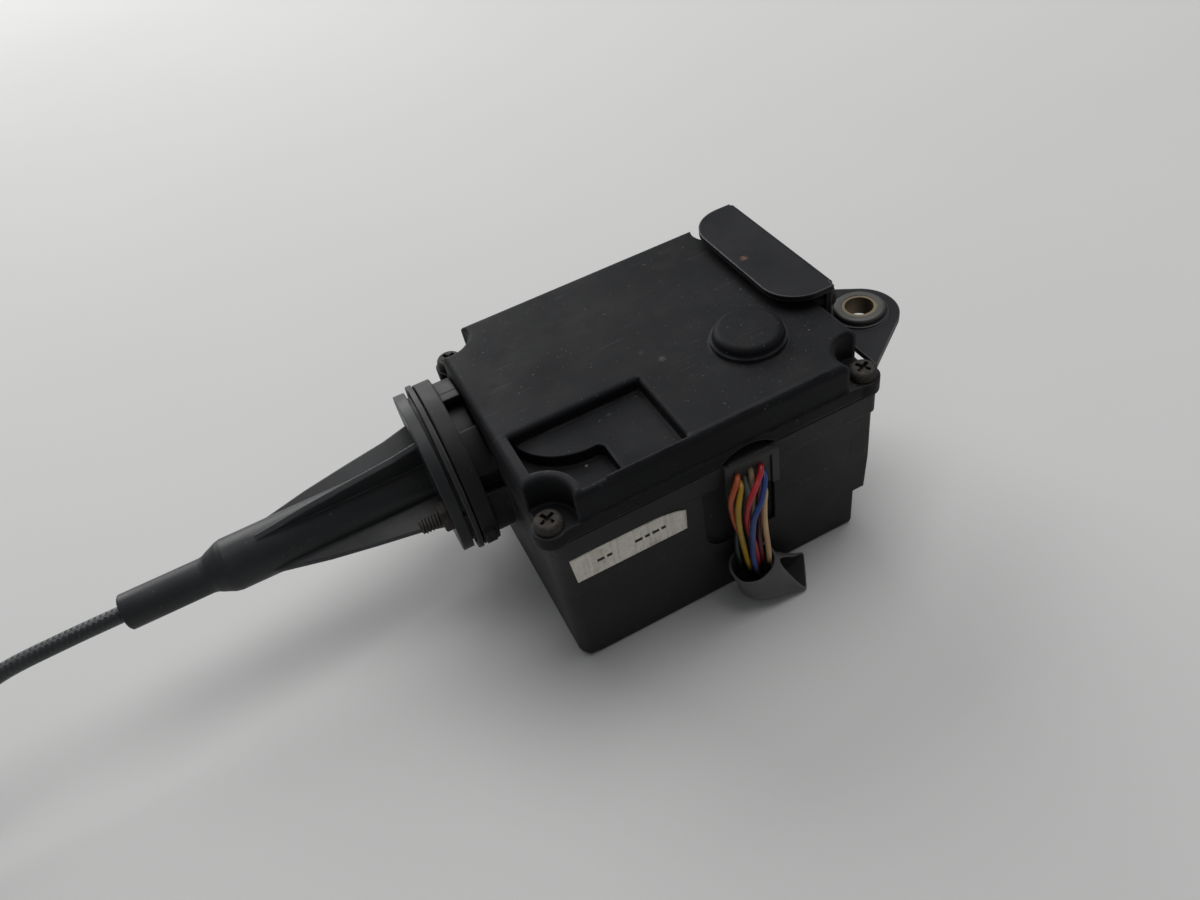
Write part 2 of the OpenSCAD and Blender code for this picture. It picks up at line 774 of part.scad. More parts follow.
module cover() {
    color([0.15, 0.15, 0.16])
    difference() {
        cover_outer();
        cover_cavity();
        translate([0, 0, case_h - recess_d1])
            linear_extrude(20)
                recess_area(0);
        translate([0, 0, case_h - recess_d2])
            linear_extrude(20)
                pocket_area(0);
        // Soft upper edges of the recess
        translate([recess_x1, recess_y1, case_h])
            rotate([0, 0, 180])
                edge_soft(recess_x1 - recess_x0, 1.6);
        translate([recess_x1, recess_y0 + 1, case_h])
            rotate([0, 0, 90])
                edge_soft(recess_y1 - recess_y0 - 1, 1.2);
        at_screws()
            translate([0, 0, seam_z - 1])
                cylinder(h = 20, r = screw_d / 2 + 0.15);
        translate([clutch_x, clutch_y, upper_bearing_z - 1])
            cylinder(h = upper_bearing_h + 1, r = bush_r);
        for (y = bracket_screw_y)
            translate([hx - 9, y, bracket_screw_z])
                rotate([0, 90, 0])
                    cylinder(h = 20, r = 2);
        cover_notch();
        // Fine groove that sets the seam off
        difference() {
            translate([-hx - 10, -hy - 10, seam_z - 1])
                cube([case_l + 20, case_w + 20, 1.4]);
            translate([0, 0, seam_z - 2])
                linear_extrude(4) {
                    case_outline(-hx + 0.4, hx - 0.4, hy - 0.4, corner_r - 1.4, far_corner_r - 0.4);
                    at_screws()
                        circle(lobe_r - 0.4);
                }
        }
    }
}

// Rounds the upper edge of a recess whose wall runs along +X
module edge_soft(len, r) {
    rotate([90, 0, 90])
        difference() {
            translate([-r, -r, 0])
                cube([r + 0.3, r + 1, len]);
            translate([-r, -r, -1])
                cylinder(h = len + 2, r = r);
        }
}

// Low arch over the wire grommet
module cover_notch() {
    translate([8.6, -hy + 4, seam_z - 8.2])
        rotate([90, 0, 0])
            cylinder(h = 8, r = 12.2);
    translate([window_x0, -hy - 1, seam_z - 1])
        cube([window_x1 - window_x0, 8, 1.6]);
}

module pan_head(d, h) {
    r = 0.175 * d;
    difference() {
        rotate_extrude() {
            square([d / 2, h - r]);
            square([d / 2 - r, h]);
            translate([d / 2 - r, h - r])
                circle(r);
        }
        for (a = [0, 90])
            rotate([0, 0, a])
                translate([-d * 0.3, -d * 0.075, h * 0.5])
                    cube([d * 0.6, d * 0.15, h]);
    }
}

module cover_screws() {
    color([0.35, 0.29, 0.25])
    at_screws() {
        rotate([0, 0, 25])
            translate([0, 0, ledge_z])
                pan_head(head_d, 3.1);
        translate([0, 0, screw_tip_z])
            cylinder(h = ledge_z - screw_tip_z + eps, r = screw_d / 2);
    }
}

// Bracket
module mounting_bracket() {
    color([0.11, 0.11, 0.12])
    difference() {
        union() {
            // Top tab with rounded corners
            translate([0, 0, tab_top_z - plate_t])
                linear_extrude(plate_t)
                    tab_shape();
            // End plate and its bend
            translate([plate_x, -14, ear_z - plate_t])
                cube([plate_t, 54, tab_top_z - tab_bend_r - ear_z + plate_t]);
            translate([plate_x + plate_t - tab_bend_r - eps, -14, tab_top_z - tab_bend_r])
                rotate([-90, 0, 0])
                    intersection() {
                        cylinder(h = 54, r = tab_bend_r);
                        translate([0, -5, 0])
                            cube([5, 5, 54]);
                    }
            translate([plate_x, 4, 34])
                cube([plate_t, 36, ear_z - 34]);
            // Ear
            translate([0, 0, ear_z - plate_t])
                linear_extrude(plate_t)
                    ear_shape();
            // Pressed ring round the ear's hole
            translate([ear_c[0], ear_c[1], ear_z - eps])
                tube(ear_hole_r + 1.2, ear_hole_r - 0.5, 0.8);
        }
        translate([ear_c[0], ear_c[1], ear_z - 5])
            cylinder(h = 10, r = ear_hole_r);
        for (y = bracket_screw_y)
            translate([plate_x - 1, y, bracket_screw_z])
                rotate([0, 90, 0])
                    cylinder(h = 5, r = 2.15);
    }
}

module tab_shape() {
    x0 = hx - 12.9;
    x1 = plate_x + plate_t;
    difference() {
        translate([x0, -16.7])
            square([x1 - tab_bend_r - x0, 57.7]);
        difference() {
            translate([x0 - 1, -17.7])
                square([13, 13]);
            translate([x0 + 12, -4.7])
                circle(12);
        }
        difference() {
            translate([x0 - 1, 29])
                square([13, 13]);
            translate([x0 + 12, 29])
                circle(12);
        }
    }
}

module ear_shape() {
    r = 12;
    near = [plate_x + 0.1, -37.8];
    // Straight edges that leave the round end at a tangent
    d = [near[0] - ear_c[0], near[1] - ear_c[1]];
    a = atan2(d[1], d[0]) + acos(r / norm(d));
    far = [plate_x + 0.1, 7.2];
    e = [far[0] - ear_c[0], far[1] - ear_c[1]];
    b = atan2(e[1], e[0]) - acos(r / norm(e));
    translate(ear_c)
        circle(r);
    polygon([near, ear_c + r * [cos(a), sin(a)], ear_c + r * [cos(b), sin(b)], far]);
}

module bracket_screws() {
    color([0.33, 0.27, 0.23])
    for (y = bracket_screw_y)
        translate([plate_x + plate_t, y, bracket_screw_z])
            rotate([0, 90, 0]) {
                pan_head(head_d, 2.8);
                translate([0, 0, -plate_t - bracket_gap - 6.5])
                    cylinder(h = plate_t + bracket_gap + 6.5 + eps, r = 2);
            }
}

module ear_grommet() {
    color([0.1, 0.1, 0.1])
    translate([ear_c[0], ear_c[1], ear_z - plate_t - 1.6])
        difference() {
            union() {
                cylinder(h = 1.6, r = ear_hole_r + 1.8);
                cylinder(h = plate_t + 2.6, r = ear_hole_r - 0.5);
                translate([0, 0, plate_t + 2.4])
                    rotate_extrude() {
                        square([ear_hole_r + 0.2, 0.9]);
                        translate([0, 0.8])
                            square([ear_hole_r - 0.7, 0.9]);
                        translate([ear_hole_r - 0.7, 0.8])
                            circle(0.9);
                    }
                cylinder(h = plate_t + 1.6, r = ear_hole_r);
            }
            translate([0, 0, -1])
                cylinder(h = 10, r = sleeve_bore / 2 + 1);
        }
}

module ear_sleeve() {
    color([0.55, 0.48, 0.38])
    translate([ear_c[0], ear_c[1], ear_z - plate_t - 2])
        tube(sleeve_bore / 2 + 1, sleeve_bore / 2, plate_t + 4.4);
}

// Wires and what holds them
module wire_grommet() {
    color([0.17, 0.165, 0.15])
    difference() {
        union() {
            translate([window_x0 + 0.1, -hy - 0.5, window_z + 0.1])
                cube([window_x1 - window_x0 - 0.2, hy - in_hy + 3.9, seam_z - window_z - 0.2]);
            // Outer plate, its right end proud
            translate([grommet_x, -hy - 0.02, window_z - 1.6])
                linear_extrude(seam_z - window_z + 1.3)
                    polygon([[0, 0], [0, -1.3], [grommet_w, -2.4], [grommet_w, 0]]);
            translate([grommet_x, -in_hy + 3.1, window_z - 1.6])
                cube([grommet_w, 1.2, seam_z - window_z + 1]);
        }
        // Mouth round the wires, open downwards
        translate([window_x0 + 0.6, -hy - 5, window_z - 3])
            cube([window_x1 - window_x0 - 1.2, 5.8, seam_z - window_z + 1.5]);
        for (p = wire_holes)
            translate([p[0], -hy - 6, p[1]])
                rotate([-90, 0, 0])
                    cylinder(h = 16, r = wire_d / 2 + 0.05, $fn = 24);
    }
}

// Routes from the header, through the grommet and down into the sleeve
module one_wire(i) {
    p = wire_holes[i];
    start = [[p[0], wire_in_y, p[1]], [p[0], -hy + 0.7, p[1]]];
    swept(concat([start[0]], smooth_route(concat([start[1]], wire_routes[i]), 2)), wire_d / 2, 8);
}
module wire_orange() { color([0.78, 0.28, 0.08]) one_wire(0); }
module wire_yellow() { color([0.72, 0.52, 0.05]) one_wire(1); }
module wire_grey() { color([0.5, 0.5, 0.48]) one_wire(2); }
module wire_green() { color([0.05, 0.2, 0.12]) one_wire(3); }
module wire_tan() { color([0.5, 0.4, 0.28]) one_wire(4); }
module wire_red() { color([0.6, 0.05, 0.08]) one_wire(5); }
module wire_blue() { color([0.08, 0.13, 0.36]) one_wire(6); }
module wire_cream() { color([0.75, 0.6, 0.42]) one_wire(7); }
module wire_maroon() { color([0.3, 0.05, 0.07]) one_wire(8); }

// Sleeve: a soft tube that stands under the wires and lies over to +X, cut open on a slant
function ring_mid(ring) = [for (k = [0 : 2]) [for (p = ring) p[k]] * [for (p = ring) 1] / len(ring)];
function closed_smooth(ring, k) =
    let (n = len(ring))
    [for (i = [0 : n - 1])
        for (j = [0 : k - 1])
            spline_point(ring[(i + n - 1) % n], ring[i], ring[(i + 1) % n], ring[(i + 2) % n], j / k)];
function shrink(ring, t) =
    let (c = ring_mid(ring))
    [for (p = ring) p + t * unit(c - p)];
function blend(a, b, t) = [for (i = [0 : len(a) - 1]) a[i] * (1 - t) + b[i] * t];
module wire_sleeve() {
    m = closed_smooth(sleeve_mouth, 3);
    b = closed_smooth(sleeve_belly, 3);
    e = closed_smooth(sleeve_end, 3);
    outer = [m, blend(blend(m, b, 0.5), blend(b, e, -0.1), 0.15), b, blend(b, e, 0.5), e];
    inner = [for (r = outer) shrink(r, 0.8)];
    n = len(m);
    k = len(outer);
    pts = [for (r = concat(outer, inner)) for (p = r) p];
    out_faces = [for (i = [0 : k - 2]) for (s = [0 : n - 1])
        each quad(i * n + s, i * n + (s + 1) % n, (i + 1) * n + (s + 1) % n, (i + 1) * n + s)];
    in_faces = [for (i = [0 : k - 2]) for (s = [0 : n - 1])
        each quad((k + i) * n + s, (k + i + 1) * n + s,
            (k + i + 1) * n + (s + 1) % n, (k + i) * n + (s + 1) % n)];
    rim0 = [for (s = [0 : n - 1]) each quad(s, k * n + s, k * n + (s + 1) % n, (s + 1) % n)];
    rim1 = [for (s = [0 : n - 1])
        each quad((k - 1) * n + s, (k - 1) * n + (s + 1) % n,
            (2 * k - 1) * n + (s + 1) % n, (2 * k - 1) * n + s)];
    color([0.3, 0.3, 0.3])
        polyhedron(points = pts, faces = concat(out_faces, in_faces, rim0, rim1), convexity = 8);
}
function quad(a, b, c, d) = [[a, b, c], [a, c, d]];

// Paper strip, torn at its upper right corner
module label() {
    color([0.8, 0.78, 0.74])
    translate([0, -body_hy, band_z])
        rotate([draft, 0, 0])
            translate([0, -0.07, -band_z])
                rotate([90, 0, 0])
                    linear_extrude(0.15)
                        polygon([[-48.1, 48.7], [-47.3, 38], [-12.3, 38.2], [-12, 46.3],
                            [-15, 47.6], [-19.4, 48.6], [-30, 49], [-38.6, 49.1]]);
}

// Cable cap
module cable_cap() {
    color([0.13, 0.13, 0.135])
    on_cable()
        difference() {
            union() {
                translate([0, 0, cap_nose_x])
                    cylinder(h = cap_flange_t, r = cap_flange_d / 2);
                // Spigot and its lugs
                translate([0, 0, cap_x - eps])
                    cylinder(h = lug_x + 3.4 - cap_x, r = spigot_r);
                for (a = [150, 330])
                    rotate([0, 0, a])
                        sector(spigot_r - 1, spigot_r + 1.6, -14, 14, lug_x, lug_x + 3.4);
                // Core, shoulder and tube
                rotate_extrude()
                    rotate([0, 0, 90])
                        cap_profile();
                for (a = fin_angles)
                    rotate([0, 0, a])
                        translate([0, fin_t / 2, cap_nose_x + eps])
                            rotate([90, 0, 0])
                                linear_extrude(fin_t)
                                    polygon([for (p = fin_profile) [p[1], -p[0]]]);
            }
            // Seat of the sheath, way of the core and hollow of the cone
            translate([0, 0, cap_end_x - 1])
                cylinder(h = sheath_seat_x - cap_end_x + 1, r = sheath_d / 2 + 0.02);
            translate([0, 0, cap_end_x - 1])
                cylinder(h = 120, r = core_d / 2 + 0.6);
            translate([0, 0, shoulder_x + 12])
                cylinder(h = 120, r = cap_core_d / 2 - 2.3);
            translate([0, 0, cap_x - 1])
                cylinder(h = 40, r = spigot_r - 2);
            rotate([0, 0, stud_angle])
                translate([stud_orbit, 0, cap_nose_x - 1])
                    cylinder(h = cap_flange_t + 2, r = stud_d / 2 + 0.2);
        }
}

// Half section along the cable's axis: [x, r]
module cap_profile() {
    r = cap_core_d / 2;
    t = cap_tube_d / 2;
    polygon([[cap_end_x, -0.001], [cap_end_x, -t + 0.4], [cap_end_x + 0.4, -t],
        [shoulder_x - 1.6, -t], [shoulder_x - 0.2, -t - 0.25], [shoulder_x + 1.2, -t - 1],
        [shoulder_x + 2.9, -r + 1.1], [shoulder_x + 4.4, -r + 0.4], [shoulder_x + 6.2, -r],
        [cap_nose_x + 1, -r - 0.4], [cap_nose_x + 1, -0.001]]);
}

module spacer_ring() {
    color([0.1, 0.1, 0.1])
    on_cable()
        difference() {
            union() {
                translate([0, 0, cap_x])
                    cylinder(h = spacer_t, r = flange_d / 2 - 3);
                translate([0, 0, cap_x + 1.2])
                    cylinder(h = 1.6, r = flange_d / 2 + 0.5);
            }
            translate([0, 0, cap_x - 1])
                cylinder(h = spacer_t + 2, r = spigot_r + 0.05);
            rotate([0, 0, stud_angle])
                translate([stud_orbit, 0, cap_x - 1])
                    cylinder(h = spacer_t + 2, r = stud_d / 2 + 0.1);
        }
}

module flange_stud() {
    color([0.36, 0.27, 0.21])
    on_cable()
        rotate([0, 0, stud_angle])
            translate([stud_orbit, 0, cap_nose_x - 9.2]) {
                cylinder(h = 0.6 + eps, r1 = stud_d / 2 - 0.5, r2 = stud_d / 2);
                translate([0, 0, 0.6])
                    cylinder(h = 8.6 + cap_flange_t + spacer_t + flange_t + 3.6, r = stud_d / 2);
            }
}

module flange_nut() {
    color([0.34, 0.25, 0.19])
    on_cable()
        rotate([0, 0, stud_angle])
            translate([stud_orbit, 0, cap_nose_x - 2.7])
                intersection() {
                    difference() {
                        cylinder(h = 2.7, r = 8 / sqrt(3), $fn = 6);
                        translate([0, 0, -1])
                            cylinder(h = 5, r = stud_d / 2);
                    }
                    rotate_extrude()
                        polygon([[0, 0], [3.9, 0], [4.7, 0.5], [4.7, 2.7], [0, 2.7]]);
                }
}

// Cable
module cable_sheath() {
    color([0.18, 0.19, 0.2])
        swept(concat([sheath_route[0]],
            smooth_route([for (i = [1 : len(sheath_route) - 1]) sheath_route[i]], 3)),
            sheath_r, 12);
}
module cable_coil() {
    color([0.18, 0.19, 0.2])
    translate([coil_c[0], coil_c[1], 0])
        rotate_extrude($fn = 96) {
            translate([coil_r - 2 * sheath_r, sheath_r])
                square(2 * sheath_r);
            for (x = [0, 2], z = [1, 3])
                translate([coil_r - x * sheath_r, z * sheath_r])
                    circle(sheath_r);
        }
}
module cable_tail() {
    color([0.18, 0.19, 0.2])
    difference() {
        swept(smooth_route(tail_route, 3), sheath_r, 12);
        // Way of the sliding core
        translate([tail_x, ferrule_y - 22, ferrule_z])
            rotate([-90, 0, 0])
                cylinder(h = 40, r = core_d / 2 + 0.1);
    }
}
module cable_ferrule() {
    color([0.5, 0.5, 0.48])
    translate([tail_x, ferrule_y, ferrule_z])
        rotate([-90, 0, 0])
            difference() {
                union() {
                    cylinder(h = ferrule_l, r = 3.6);
                    cylinder(h = 3, r = 4);
                    translate([0, 0, ferrule_l - 6])
                        cylinder(h = 2, r = 4);
                }
                translate([0, 0, -1])
                    cylinder(h = ferrule_l + 2, r = core_d / 2 + run_fit);
                translate([0, 0, -1])
                    cylinder(h = 9, r = sheath_r + 0.02);
            }
}
module core_end() {
    color([0.62, 0.62, 0.6])
    translate([tail_x, ferrule_y, ferrule_z])
        rotate([-90, 0, 0]) {
            translate([0, 0, ferrule_l - 2])
                cylinder(h = core_out + 2 + eps, r = core_d / 2);
            translate([0, 0, ferrule_l + core_out])
                cylinder(h = 7, r = 3);
        }
}

// Core inside the case: straight to the drum, then round it to the slug
module inner_core() {
    color([0.6, 0.6, 0.58])
    swept(concat([[sheath_seat_x + 0.4, cable_y, cable_z]],
        [for (a = [90 : -6: slug_angle])
            [drum_x + wind_r * cos(a), drum_y + wind_r * sin(a), cable_z]]), core_d / 2, 8);
}
module core_slug() {
    color([0.6, 0.6, 0.58])
    translate([drum_x, drum_y, 0])
        rotate([0, 0, slug_angle])
            translate([wind_r, 0, cable_z - 2.2])
                difference() {
                    cylinder(h = 4.4, r = slug_r);
                    translate([0, 5, 2.2])
                        rotate([90, 0, 0])
                            cylinder(h = 6.2, r = core_d / 2 + 0.25);
                }
}

module cable_drum() {
    color([0.85, 0.83, 0.76])
    translate([drum_x, drum_y, 0])
        difference() {
            union() {
                translate([0, 0, gear_z])
                    rotate([0, 0, mesh_angle])
                        linear_extrude(gear_h)
                            polygon(tooth_ring(gear_m, drum_teeth, 0.3, 0.8, 0.85 * gear_m, 1.2 * gear_m));
                translate([0, 0, gear_z - 0.4])
                    cylinder(h = drum_top_z + 4.2 - gear_z, r = hub_r);
                rotate_extrude()
                    drum_profile();
            }
            // Bore for the bush
            translate([0, 0, gear_z - 1])
                cylinder(h = 30, r = shaft_r + 1.5);
            // Pocket of the core's slug, open at the top
            rotate([0, 0, slug_angle])
                translate([wind_r, 0, cable_z - 2.3])
                    cylinder(h = 20, r = slug_r + 0.05);
            // Slots that lighten the gear's web
            for (a = [60, 120, 180, 240, 300, 360])
                translate([0, 0, gear_z - 1])
                    rotate([0, 0, a])
                        translate([25.6, 0, 0])
                            cylinder(h = 10, r = 1.6);
            for (a = [90 : 45 : 315])
                rotate([0, 0, a])
                    translate([12.5, 0, gear_z - 1])
                        cylinder(h = 30, r = 3.2);
            // Slot for the sensor's tongue
            translate([-hub_r - 1, -1.3, drum_top_z + 2.4])
                cube([2 * hub_r + 2, 2.6, 5]);
            // Hole for the spring's moving leg
            rotate([0, 0, spring_a0])
                translate([spring_r, 0, drum_top_z - 3])
                    cylinder(h = 10, r = 0.75);
        }
}
module drum_profile() {
    z0 = gear_z + gear_h - eps;
    difference() {
        translate([0, z0])
            square([drum_flange_r, drum_top_z - z0]);
        translate([wind_r - core_d / 2 - 0.05, cable_z - core_d / 2 - 0.35])
            square([10, core_d + 0.7]);
        polygon([[drum_flange_r + 1, cable_z - 2.7], [wind_r, cable_z - core_d / 2 - 0.35],
            [wind_r, cable_z + core_d / 2 + 0.35], [drum_flange_r + 1, cable_z + 2.7]]);
    }
}

module drum_shaft() {
    color([0.65, 0.65, 0.66])
    translate([drum_x, drum_y, drum_shaft_z])
        cylinder(h = drum_top_z + 2 - drum_shaft_z, r = shaft_r);
}
module drum_bush() {
    color([0.6, 0.45, 0.25])
    translate([drum_x, drum_y, gear_z - 0.4])
        tube(shaft_r + 1.5, shaft_r + run_fit, drum_top_z + 2.2 - gear_z);
}

// Torsion spring: a leg in the drum, turns round the hub and a leg at the peg
module return_spring() {
    a_end = spring_a0 - 360 * spring_turns;
    tangent = [cos(a_end - 90), sin(a_end - 90), 0];
    last = [spring_r * cos(a_end), spring_r * sin(a_end), 3.6];
    turned = [for (p = spring_route)
        [p[0] * cos(spring_a0) - p[1] * sin(spring_a0),
            p[0] * sin(spring_a0) + p[1] * cos(spring_a0), p[2]]];
    leg = concat(turned, [last + tangent * 6, last + tangent * 28]);
    color([0.5, 0.5, 0.5])
    translate([drum_x, drum_y, drum_top_z - 0.3])
        swept(leg, spring_wire_r, 8);
}

// Clutch shaft group
module on_clutch() {
    translate([clutch_x, clutch_y, 0])
        children();
}
module clutch_shaft() {
    color([0.65, 0.65, 0.66])
    on_clutch()
        translate([0, 0, lower_bearing_z + 0.3])
            cylinder(h = upper_bearing_z + upper_bearing_h - lower_bearing_z - 0.6, r = shaft_r);
}
module pinion() {
    color([0.75, 0.6, 0.3])
    on_clutch()
        difference() {
            union() {
                translate([0, 0, gear_z])
                    rotate([0, 0, mesh_angle + 180 + 180 / pinion_teeth])
                        linear_extrude(gear_h)
                            polygon(tooth_ring(gear_m, pinion_teeth, 0.3, 0.8, 0.85 * gear_m, 1.2 * gear_m));
                translate([0, 0, gear_z])
                    cylinder(h = gear_h + 2, r = shaft_r + 3);
            }
            translate([0, 0, gear_z - 1])
                cylinder(h = 10, r = shaft_r);
        }
}
module clutch_rotor() {
    color([0.45, 0.45, 0.45])
    on_clutch()
        difference() {
            union() {
                translate([0, 0, rotor_z])
                    cylinder(h = rotor_t, r = 13);
                translate([0, 0, rotor_z])
                    cylinder(h = cup_z + cup_h - rotor_z, r = shaft_r + 2);
            }
            translate([0, 0, rotor_z - 1])
                cylinder(h = 20, r = shaft_r);
        }
}
module clutch_armature() {
    color([0.5, 0.5, 0.52])
    on_clutch()
        translate([0, 0, rotor_z - 0.3 - armature_travel - armature_t])
            difference() {
                cylinder(h = armature_t, r = 13);
                translate([0, 0, -1])
                    cylinder(h = 5, r = shaft_r + 1);
                for (a = [0, 120, 240])
                    rotate([0, 0, a])
                        translate([drive_pin_orbit, 0, -1])
                            cylinder(h = 5, r = drive_pin_r + 0.08);
            }
}
module coil_cup() {
    color([0.42, 0.42, 0.43])
    on_clutch()
        difference() {
            union() {
                translate([0, 0, cup_z])
                    cylinder(h = cup_h, r = 13);
                for (a = coil_angles)
                    rotate([0, 0, a])
                        translate([0, 0, cup_z + cup_h - 1.5])
                            linear_extrude(1.5) {
                                translate([0, -3])
                                    square([coil_arm, 6]);
                                translate([coil_arm, 0])
                                    circle(3);
                            }
            }
            translate([0, 0, cup_z - 1])
                tube(11.4, shaft_r + 4, cup_h - 0.4);
            translate([0, 0, cup_z - 1])
                cylinder(h = 10, r = shaft_r + 2 + pass_gap);
        }
}
module clutch_coil() {
    color([0.55, 0.28, 0.12])
    on_clutch()
        translate([0, 0, cup_z + 0.2])
            tube(11.3, shaft_r + 4.1, cup_h - 1.6);
}
module worm_wheel() {
    lead_a = gear_m / (2 * worm_pitch_r) / wheel_pitch_r * 180 / PI;
    color([0.8, 0.78, 0.7])
    on_clutch()
        difference() {
            union() {
                translate([0, 0, wheel_z])
                    rotate([0, 0, 180 - lead_a * wheel_h / 2])
                        linear_extrude(wheel_h, twist = -lead_a * wheel_h, slices = 4)
                            polygon(tooth_ring(gear_m, wheel_teeth, 0.26, 0.72, 0.8 * gear_m, 1.2 * gear_m));
                translate([0, 0, wheel_hub_z])
                    cylinder(h = wheel_z - wheel_hub_z + 1, r = shaft_r + 3.4);
                for (a = [0, 120, 240])
                    rotate([0, 0, a])
                        translate([drive_pin_orbit, 0, wheel_z + wheel_h - 1])
                            cylinder(h = 2.8, r = drive_pin_r);
            }
            translate([0, 0, 0])
                cylinder(h = 40, r = shaft_r + 1.2);
        }
}
module worm_wheel_bush() {
    color([0.6, 0.45, 0.25])
    on_clutch()
        translate([0, 0, wheel_hub_z])
            tube(shaft_r + 1.2, shaft_r + run_fit, wheel_z + wheel_h - wheel_hub_z);
}
module lower_bearing() {
    color([0.6, 0.45, 0.25])
    on_clutch()
        translate([0, 0, lower_bearing_z])
            tube(bush_r, shaft_r + run_fit, lower_bearing_h);
}
module upper_bearing() {
    color([0.6, 0.45, 0.25])
    on_clutch()
        translate([0, 0, upper_bearing_z])
            tube(bush_r, shaft_r + run_fit, upper_bearing_h);
}

// Worm: root cylinder with one thread swept round it, meshing with the wheel
module worm() {
    turns = 5;
    n = turns * worm_steps;
    half_root = 0.72;
    half_tip = 0.26;
    y0 = clutch_y + worm_lead * 0.25 - turns / 2 * worm_lead;
    pts = [for (i = [0 : n])
        let (psi = 360 * i / worm_steps + (turns % 2 == 0 ? 0 : 180), y = y0 + worm_lead * i / worm_steps)
        for (q = [[worm_root_r - 0.4, -half_root], [worm_tip_r, -half_tip],
            [worm_tip_r, half_tip], [worm_root_r - 0.4, half_root]])
            [worm_x + q[0] * sin(psi), y + q[1], motor_z + q[0] * cos(psi)]];
    skin = [for (i = [0 : n - 1]) for (s = [0 : 3])
        each quad(4 * i + s, 4 * i + (s + 1) % 4, 4 * (i + 1) + (s + 1) % 4, 4 * (i + 1) + s)];
    ends = concat(quad(3, 2, 1, 0), quad(4 * n, 4 * n + 1, 4 * n + 2, 4 * n + 3));
    color([0.6, 0.6, 0.62])
    difference() {
        union() {
            translate([worm_x, clutch_y - worm_l / 2, motor_z])
                rotate([-90, 0, 0])
                    cylinder(h = worm_l, r = worm_root_r);
            polyhedron(points = pts, faces = concat(skin, ends), convexity = 10);
        }
        translate([worm_x, clutch_y - worm_l, motor_z])
            rotate([-90, 0, 0])
                cylinder(h = 2 * worm_l, r = motor_shaft_r);
    }
}
module motor_shaft() {
    color([0.7, 0.7, 0.72])
    translate([worm_x, worm_end_y - 3.8, motor_z])
        rotate([-90, 0, 0])
            cylinder(h = motor_y0 + 4 - worm_end_y + 3.8, r = motor_shaft_r);
}
module shaft_bearing() {
    color([0.6, 0.45, 0.25])
    translate([worm_x, worm_end_y - 4.6, motor_z])
        rotate([-90, 0, 0])
            tube(motor_shaft_r + 1.4, motor_shaft_r + run_fit, 4.6);
}
module motor_can() {
    color([0.55, 0.56, 0.58])
    translate([worm_x, motor_y0, motor_z])
        rotate([-90, 0, 0])
            difference() {
                union() {
                    cylinder(h = motor_l, r = motor_d / 2);
                    translate([0, 0, -2])
                        cylinder(h = 3, r = 5);
                }
                translate([0, 0, -3])
                    cylinder(h = 8, r = motor_shaft_r + run_fit);
            }
}
module motor_end_cap() {
    color([0.1, 0.1, 0.1])
    translate([worm_x, motor_y0 + motor_l, motor_z])
        rotate([-90, 0, 0]) {
            cylinder(h = 2.2, r = motor_d / 2 - 1);
            cylinder(h = 3, r = 4);
        }
}
module motor_clamp() {
    r = motor_d / 2;
    color([0.5, 0.5, 0.52])
    translate([worm_x, clamp_y, motor_z])
        rotate([-90, 0, 0])
            linear_extrude(8)
                difference() {
                    union() {
                        circle(r + 1.3);
                        translate([-r - 1.3, 0])
                            square([2 * r + 2.6, motor_z - clamp_z]);
                        translate([-clamp_foot - 4, motor_z - clamp_z - 1.3])
                            square([2 * clamp_foot + 8, 1.3]);
                    }
                    circle(r + 0.02);
                    translate([-r - 0.02, 0])
                        square([2 * r + 0.04, 40]);
                }
}
module motor_screws() {
    color([0.6, 0.6, 0.6])
    for (s = [-1, 1])
        translate([worm_x + s * clamp_foot, clamp_y + 4, clamp_z + 1.3]) {
            pan_head(5.4, 2);
        }
}

// Electronics
module circuit_board() {
    color([0.08, 0.25, 0.14])
    translate([0, 0, board_z])
        difference() {
            linear_extrude(board_t)
                difference() {
                    translate([-41, -in_hy + 0.4])
                        square([56, 2 * in_hy - 0.8]);
                    translate([-12, -in_hy - 1])
                        square([40, 9]);
                }
            for (p = board_holes)
                translate([p[0], p[1], -1])
                    cylinder(h = 5, r = 1.6);
        }
}
module board_screws() {
    color([0.6, 0.6, 0.6])
    for (p = board_holes)
        translate([p[0], p[1], board_z + board_t]) {
            pan_head(5, 1.8);
            translate([0, 0, -board_t - 7])
                cylinder(h = board_t + 7 + eps, r = 1.25);
        }
}
module wire_header() {
    color([0.75, 0.73, 0.66])
    translate([1.5, wire_in_y, board_z - 9])
        cube([14.5, header_d, 9]);
}
module relay() {
    color([0.08, 0.08, 0.1])
    translate([-3, 6, board_z + board_t])
        cube([16, 13, relay_h]);
}
module capacitors() {
    color([0.15, 0.2, 0.4])
    for (p = [[2, -7], [2, -17], [-14, 24]])
        translate([p[0], p[1], board_z + board_t])
            cylinder(h = capacitor_h, r = 4);
}
module control_chip() {
    color([0.07, 0.07, 0.07])
    translate([-34, 2, board_z + board_t])
        cube([14, 10, 2.4]);
}
module position_sensor() {
    color([0.12, 0.16, 0.3])
    difference() {
        translate([drum_x - 11, drum_y - 9, drum_top_z + 4.6])
            cube([22, 18, board_z - drum_top_z - 4.6]);
        translate([drum_x, drum_y, drum_top_z])
            cylinder(h = board_z - drum_top_z - 0.8, r = 4.5 + run_fit);
    }
}
module sensor_rotor() {
    color([0.8, 0.8, 0.76])
    translate([drum_x, drum_y, 0])
        union() {
            translate([0, 0, drum_top_z + 4])
                cylinder(h = board_z - drum_top_z - 5.2, r = 4.5);
            translate([-hub_r + 0.6, -1.25, drum_top_z + 2.5])
                cube([2 * hub_r - 1.2, 2.5, 2]);
        }
}

